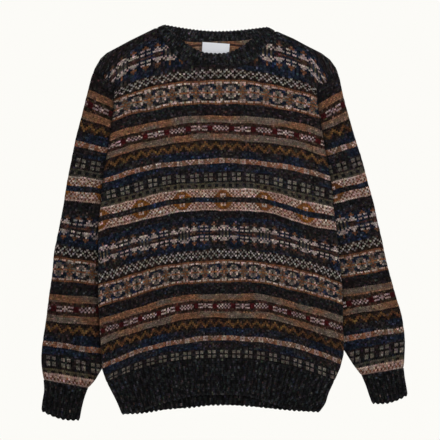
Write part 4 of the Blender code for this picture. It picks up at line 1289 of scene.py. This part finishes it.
def knit_legs():
    """Group: height of the two legs of each stitch, from a place in stitches, and a painted
    shade that darkens the gaps between them.

    Each leg is a rounded ridge, 1 - |across|^2.5, that ends at the next course.
    """
    tree, given, leave = group_with(
        "Knit Legs",
        [("Place", "NodeSocketVector", None), ("Fibre", "NodeSocketFloat", 0.5),
         ("Gap", "NodeSocketFloat", 0.22)],
        [("Height", "NodeSocketFloat"), ("Painted Shade", "NodeSocketFloat")])

    def ridge(place, middle, half, power):
        """1 - |(place - middle) / half|^power."""
        off = maths(tree, "MULTIPLY", maths(tree, "SUBTRACT", place, middle), 1.0 / half)
        return maths(tree, "SUBTRACT", 1.0, maths(
            tree, "POWER", maths(tree, "ABSOLUTE", off), power))

    split = node(tree, "ShaderNodeSeparateXYZ", {0: given["Place"]})
    wale, course = maths(tree, "FRACT", split["X"]), maths(tree, "FRACT", split["Y"])
    from_middle = maths(tree, "ABSOLUTE", maths(tree, "SUBTRACT", wale, 0.5))
    legs = maths(tree, "MULTIPLY", ridge(from_middle, 0.25, 0.25, 2.5),
                 ridge(course, 0.5, 0.5, 5.0), clamp=True)
    fibres = streaks(tree, given["Place"], (9.0, 2.5, 1.0), 3.0)
    # painted shade: dark in the gaps between the legs, Gap being the brightness left there
    lit = maths(tree, "MULTIPLY", maths(tree, "POWER", legs, 0.8),
                maths(tree, "SUBTRACT", 1.0, given["Gap"]))
    feed(tree, leave, {
        "Height": maths(tree, "ADD", legs, maths(tree, "MULTIPLY", fibres, given["Fibre"])),
        "Painted Shade": maths(tree, "ADD", lit, given["Gap"])})


def wool_heather():
    """Group: a yarn's colour with lighter and darker fibres in it, times the painted shade
    that it is given.

    The brightness swings by e to the power of fine noise, some of it in short
    streaks along the stitches and some in spots of about a millimetre.
    """
    tree, given, leave = group_with(
        "Wool Heather",
        [("Colour", "NodeSocketColor", (0.5, 0.5, 0.5, 1.0)),
         ("Place", "NodeSocketVector", None), ("Painted Shade", "NodeSocketFloat", 1.0),
         ("Amount", "NodeSocketFloat", 3.0), ("Scale", "NodeSocketFloat", 700.0)],
        [("Colour", "NodeSocketColor"), ("Roughness", "NodeSocketFloat")])
    spots = node(tree, "ShaderNodeTexNoise", {
        "Vector": node(tree, "ShaderNodeTexCoord", {})["Object"],
        "Scale": given["Scale"], "Detail": 3.0})[0]
    noise = maths(tree, "ADD", spots, streaks(tree, given["Place"], (8.0, 1.5, 1.0), 2.0))
    noise = maths(tree, "SUBTRACT", noise, 1.0)
    swing = maths(tree, "EXPONENT", maths(tree, "MULTIPLY", noise, given["Amount"]))
    bright = maths(tree, "MULTIPLY", swing, given["Painted Shade"])
    feed(tree, leave, {
        "Colour": scaled(tree, given["Colour"], bright),
        "Roughness": maths(tree, "ADD", 0.9, maths(tree, "MULTIPLY", noise, 0.2),
                           clamp=True)})


def spin(name, dress):
    """A material whose Principled inputs and bump come from dress(tree, yarn, place)."""
    material = bpy.data.materials.new(name)
    material.use_nodes = True
    tree = material.node_tree
    yarn = node(tree, "ShaderNodeAttribute", {}, attribute_name="yarn")["Color"]
    place = node(tree, "ShaderNodeUVMap", {}, uv_map="stitches")[0]
    inputs, bump = dress(tree, yarn, place)
    inputs["Normal"] = node(tree, "ShaderNodeBump", bump)[0]
    feed(tree, tree.nodes["Principled BSDF"], inputs)


def wool(tree, yarn, place):
    """Knitted wool: the stitches' own colours, heathered, with raised legs and painted shade
    in the gaps between them.
    """
    groups = bpy.data.node_groups
    legs = node(tree, "ShaderNodeGroup", {"Place": place}, node_tree=groups["Knit Legs"])
    heather = node(tree, "ShaderNodeGroup",
                   {"Colour": yarn, "Place": place, "Painted Shade": legs["Painted Shade"]},
                   node_tree=groups["Wool Heather"])
    return ({"Base Color": heather["Colour"], "Roughness": heather["Roughness"],
             "Sheen Weight": 0.03, "Sheen Roughness": 0.5, "Specular IOR Level": 0.05},
            {"Height": legs["Height"], "Strength": 0.8, "Distance": 0.0009})


def satin(tree, yarn, place):
    """Woven label: fine crossing threads on a cool white."""
    threads = node(tree, "ShaderNodeTexWave", {"Vector": place, "Scale": 1.6},
                   bands_direction="X")[1]
    share = maths(tree, "ADD", 0.95, maths(tree, "MULTIPLY", threads, 0.05))
    return ({"Base Color": scaled(tree, yarn, share), "Roughness": 0.55},
            {"Height": threads, "Strength": 0.3, "Distance": 0.0001})


def finished(piece, material_name, nodes):
    """Give a piece its material, hang it on the root body, and hide the frame's parts that it
    replaces.
    """
    piece.data.materials.append(bpy.data.materials[material_name])
    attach(piece, "root")
    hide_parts(*nodes)


# ---- properties -----------------------------------------------------------------
def shade(name, words, seen):
    """A colour property whose default is given as it looks on a screen, 0 to 255."""
    seen = np.array(seen) / 255.0
    linear = np.where(seen <= 0.04045, seen / 12.92, ((seen + 0.055) / 1.055) ** 2.4)
    return bpy.props.FloatVectorProperty(name=name, description=words, subtype="COLOR",
                                         size=3, min=0.0, max=1.0, default=linear.tolist())


def measure(name, words, default, highest, lowest=0.0):
    """A length property, in metres."""
    return bpy.props.FloatProperty(name=name, description=words, default=default,
                                   min=lowest, max=highest, unit="LENGTH", precision=5)


class JumperSizes(bpy.types.PropertyGroup):
    """Sizes of the cloth and its relief."""

    cloth: measure("Cloth", "Thickness of the knitted cloth", 0.0027, 0.003, 0.001)
    stitch_relief: measure("Stitch relief", "Depth of the valley between two wales",
                           0.00035, 0.001)
    bobble: measure("Bobble", "How unevenly the stitches stand out", 0.0007, 0.001)
    rib_height: measure("Rib height", "Height of a rib over the valley beside it",
                        0.0014, 0.002)
    seam_depth: measure("Seam depth", "Depth of the dip along a seam", 0.0016, 0.002)
    # painted shade: how much darker the dip along each seam is made, as the groove lies in
    # shade
    seam_painted_shade: bpy.props.FloatProperty(
        name="Seam shade", description="How much darker the yarn is along a seam",
        default=0.55, min=0.0, max=1.0, subtype="FACTOR")
    # painted highlight along the hem's free edge, where its roll catches the light
    edge_painted_highlight: bpy.props.FloatProperty(
        name="Edge shine", description="How much paler the hem's free edge is",
        default=0.9, min=0.0, max=2.0)
    scallop: measure("Scallop", "How far a rib stands out at a free edge", 0.0018, 0.004)
    ripple: measure("Ripple", "Height of the cloth's small unevenness", 0.0005, 0.002)


class JumperYarns(bpy.types.PropertyGroup):
    """Colours of the yarns and the label."""

    __annotations__ = {name: shade(name.title(), words, seen)
                       for _, name, words, seen, _, _ in YARNS}
    __annotations__["label"] = shade("Label", "The woven label", (240, 242, 247))


class JumperStage(bpy.types.PropertyGroup):
    """The floor, the light and the camera."""

    floor: shade("Floor", "Pale light box under the jumper", (252, 251, 247))
    camera_height: measure("Camera height", "Height of the camera over the floor",
                           6.0, 20.0, 2.0)
    view_width: measure("View width", "Width of the floor that the camera sees",
                        0.792, 10.0, 0.1)
    view_middle: bpy.props.FloatVectorProperty(
        name="View middle", description="Where the middle of the view lies",
        default=(-0.0081, 0.0045), size=2, unit="LENGTH", precision=4)
    sky: bpy.props.FloatProperty(
        name="Sky", description="Strength of the light from all round", default=0.5, min=0.0)
    lamp: bpy.props.FloatProperty(
        name="Lamp", description="Power of the large soft lamp", default=10.0, min=0.0,
        unit="POWER")


# ---- operators ------------------------------------------------------------------
class JUMPER_OT_spin_wool(bpy.types.Operator):
    """Make the wool and label materials."""

    bl_idname = "jumper.spin_wool"
    bl_label = "Spin the wool"

    def execute(self, context):
        knit_legs()
        wool_heather()
        spin("fair_isle_wool", wool)
        spin("charcoal_wool", wool)
        spin("label_satin_weave", satin)
        return {"FINISHED"}


class JUMPER_OT_knit_body(bpy.types.Operator):
    """Knit the front and the back."""

    bl_idname = "jumper.knit_body"
    bl_label = "Knit the body"

    def execute(self, context):
        sizes, yarns = context.scene.jumper_sizes, context.scene.jumper_yarns
        back = body_piece("back_knit", NECK_BACK_SEAM, False, sizes, yarns)
        finished(back, "fair_isle_wool", ["back"])
        front = body_piece("front_knit", NECK_FRONT_SEAM, True, sizes, yarns)
        finished(front, "fair_isle_wool", ["front"])
        return {"FINISHED"}


class JUMPER_OT_knit_sleeves(bpy.types.Operator):
    """Knit both sleeves."""

    bl_idname = "jumper.knit_sleeves"
    bl_label = "Knit the sleeves"

    def execute(self, context):
        sizes, yarns = context.scene.jumper_sizes, context.scene.jumper_yarns
        for side in ("left", "right"):
            sleeve = sleeve_piece(side, sizes, yarns)
            finished(sleeve, "fair_isle_wool", ["sleeve_" + side])
        return {"FINISHED"}


class JUMPER_OT_knit_ribs(bpy.types.Operator):
    """Knit the hem, the cuffs and the neckband."""

    bl_idname = "jumper.knit_ribs"
    bl_label = "Knit the ribs"

    def execute(self, context):
        sizes, yarns = context.scene.jumper_sizes, context.scene.jumper_yarns
        for name, edge, upper, under in (
                ("hem_back", HEM_BACK_EDGE, False, "floor"),
                ("hem_front", HEM_FRONT_EDGE, True, "hem_back_rib")):
            welt = hem_piece(name + "_rib", edge, upper, sizes, yarns)
            finished(welt, "charcoal_wool", [name])
        for side in ("left", "right"):
            cuff = cuff_piece(side, sizes, yarns)
            finished(cuff, "charcoal_wool", ["cuff_" + side])
        band = neckband_piece(sizes, yarns)
        finished(band, "charcoal_wool", ["neckband"])
        return {"FINISHED"}


class JUMPER_OT_sew_label(bpy.types.Operator):
    """Sew the blank label inside the back neck."""

    bl_idname = "jumper.sew_label"
    bl_label = "Sew the label"

    def execute(self, context):
        label = label_piece(context.scene.jumper_yarns)
        finished(label, "label_satin_weave", ["neck_label"])
        return {"FINISHED"}


class JUMPER_OT_set_stage(bpy.types.Operator):
    """Lay the floor, set the light and place the camera."""

    bl_idname = "jumper.set_stage"
    bl_label = "Set the stage"

    def execute(self, context):
        scene, stage = context.scene, context.scene.jumper_stage
        mesh = bpy.data.meshes.new("floor")
        mesh.from_pydata([(x * FLOOR_HALF, y * FLOOR_HALF, FLOOR_HEIGHT)
                          for x, y in ((-1, -1), (1, -1), (1, 1), (-1, 1))], [],
                         [(0, 1, 2, 3)])
        paper = bpy.data.materials.new("floor_paper")
        paper.use_nodes = True
        feed(paper.node_tree, paper.node_tree.nodes["Principled BSDF"], {
            "Base Color": (0.0, 0.0, 0.0, 1.0), "Roughness": 1.0,
            "Specular IOR Level": 0.0, "Emission Color": (*stage.floor, 1.0),
            "Emission Strength": 1.0})
        mesh.materials.append(paper)
        floor = placed("floor", mesh)

        world = bpy.data.worlds.new("soft_sky")
        world.use_nodes = True
        feed(world.node_tree, world.node_tree.nodes["Background"],
             {"Color": (1.0, 0.995, 0.985, 1.0), "Strength": stage.sky})
        scene.world = world

        lamp = bpy.data.lights.new("soft_lamp", "AREA")
        lamp.shape = "RECTANGLE"
        lamp.size = lamp.size_y = 1.0
        lamp.energy = stage.lamp
        placed("soft_lamp", lamp, LAMP_PLACE, LAMP_TURN)

        lens = bpy.data.cameras.new("overhead")
        lens.sensor_width = SENSOR_WIDTH
        lens.lens = SENSOR_WIDTH * stage.camera_height / stage.view_width
        lens.clip_end = 50.0
        scene.camera = placed("overhead", lens, (*stage.view_middle, stage.camera_height))
        scene.view_settings.view_transform = "Standard"
        return {"FINISHED"}


class JUMPER_PT_pieces(bpy.types.Panel):
    """Sizes, colours and steps of the jumper."""

    bl_idname = "JUMPER_PT_pieces"
    bl_label = "Fair Isle Jumper"
    bl_space_type = "VIEW_3D"
    bl_region_type = "UI"
    bl_category = "Jumper"

    def draw(self, context):
        for step in STEPS:
            self.layout.operator(step.bl_idname)
        for group in GROUPS:
            holder = getattr(context.scene, group)
            box = self.layout.box()
            for name in holder.__annotations__:
                box.prop(holder, name)


GROUPS = {"jumper_sizes": JumperSizes, "jumper_yarns": JumperYarns,
          "jumper_stage": JumperStage}
STEPS = (JUMPER_OT_set_stage, JUMPER_OT_spin_wool, JUMPER_OT_knit_body,
         JUMPER_OT_knit_sleeves, JUMPER_OT_knit_ribs, JUMPER_OT_sew_label)


def register():
    """Register the classes and hang their properties on the scene."""
    for cls in (*GROUPS.values(), *STEPS, JUMPER_PT_pieces):
        bpy.utils.register_class(cls)
    for name, cls in GROUPS.items():
        setattr(bpy.types.Scene, name, bpy.props.PointerProperty(type=cls))


def unregister():
    """Take the properties and classes away again."""
    for name in GROUPS:
        delattr(bpy.types.Scene, name)
    for cls in reversed((*GROUPS.values(), *STEPS, JUMPER_PT_pieces)):
        bpy.utils.unregister_class(cls)


def main():
    """Knit the whole jumper."""
    register()
    for step in STEPS:
        area, name = step.bl_idname.split(".")
        getattr(getattr(bpy.ops, area), name)()
    bpy.context.view_layer.update()


if __name__ == "__main__":
    main()
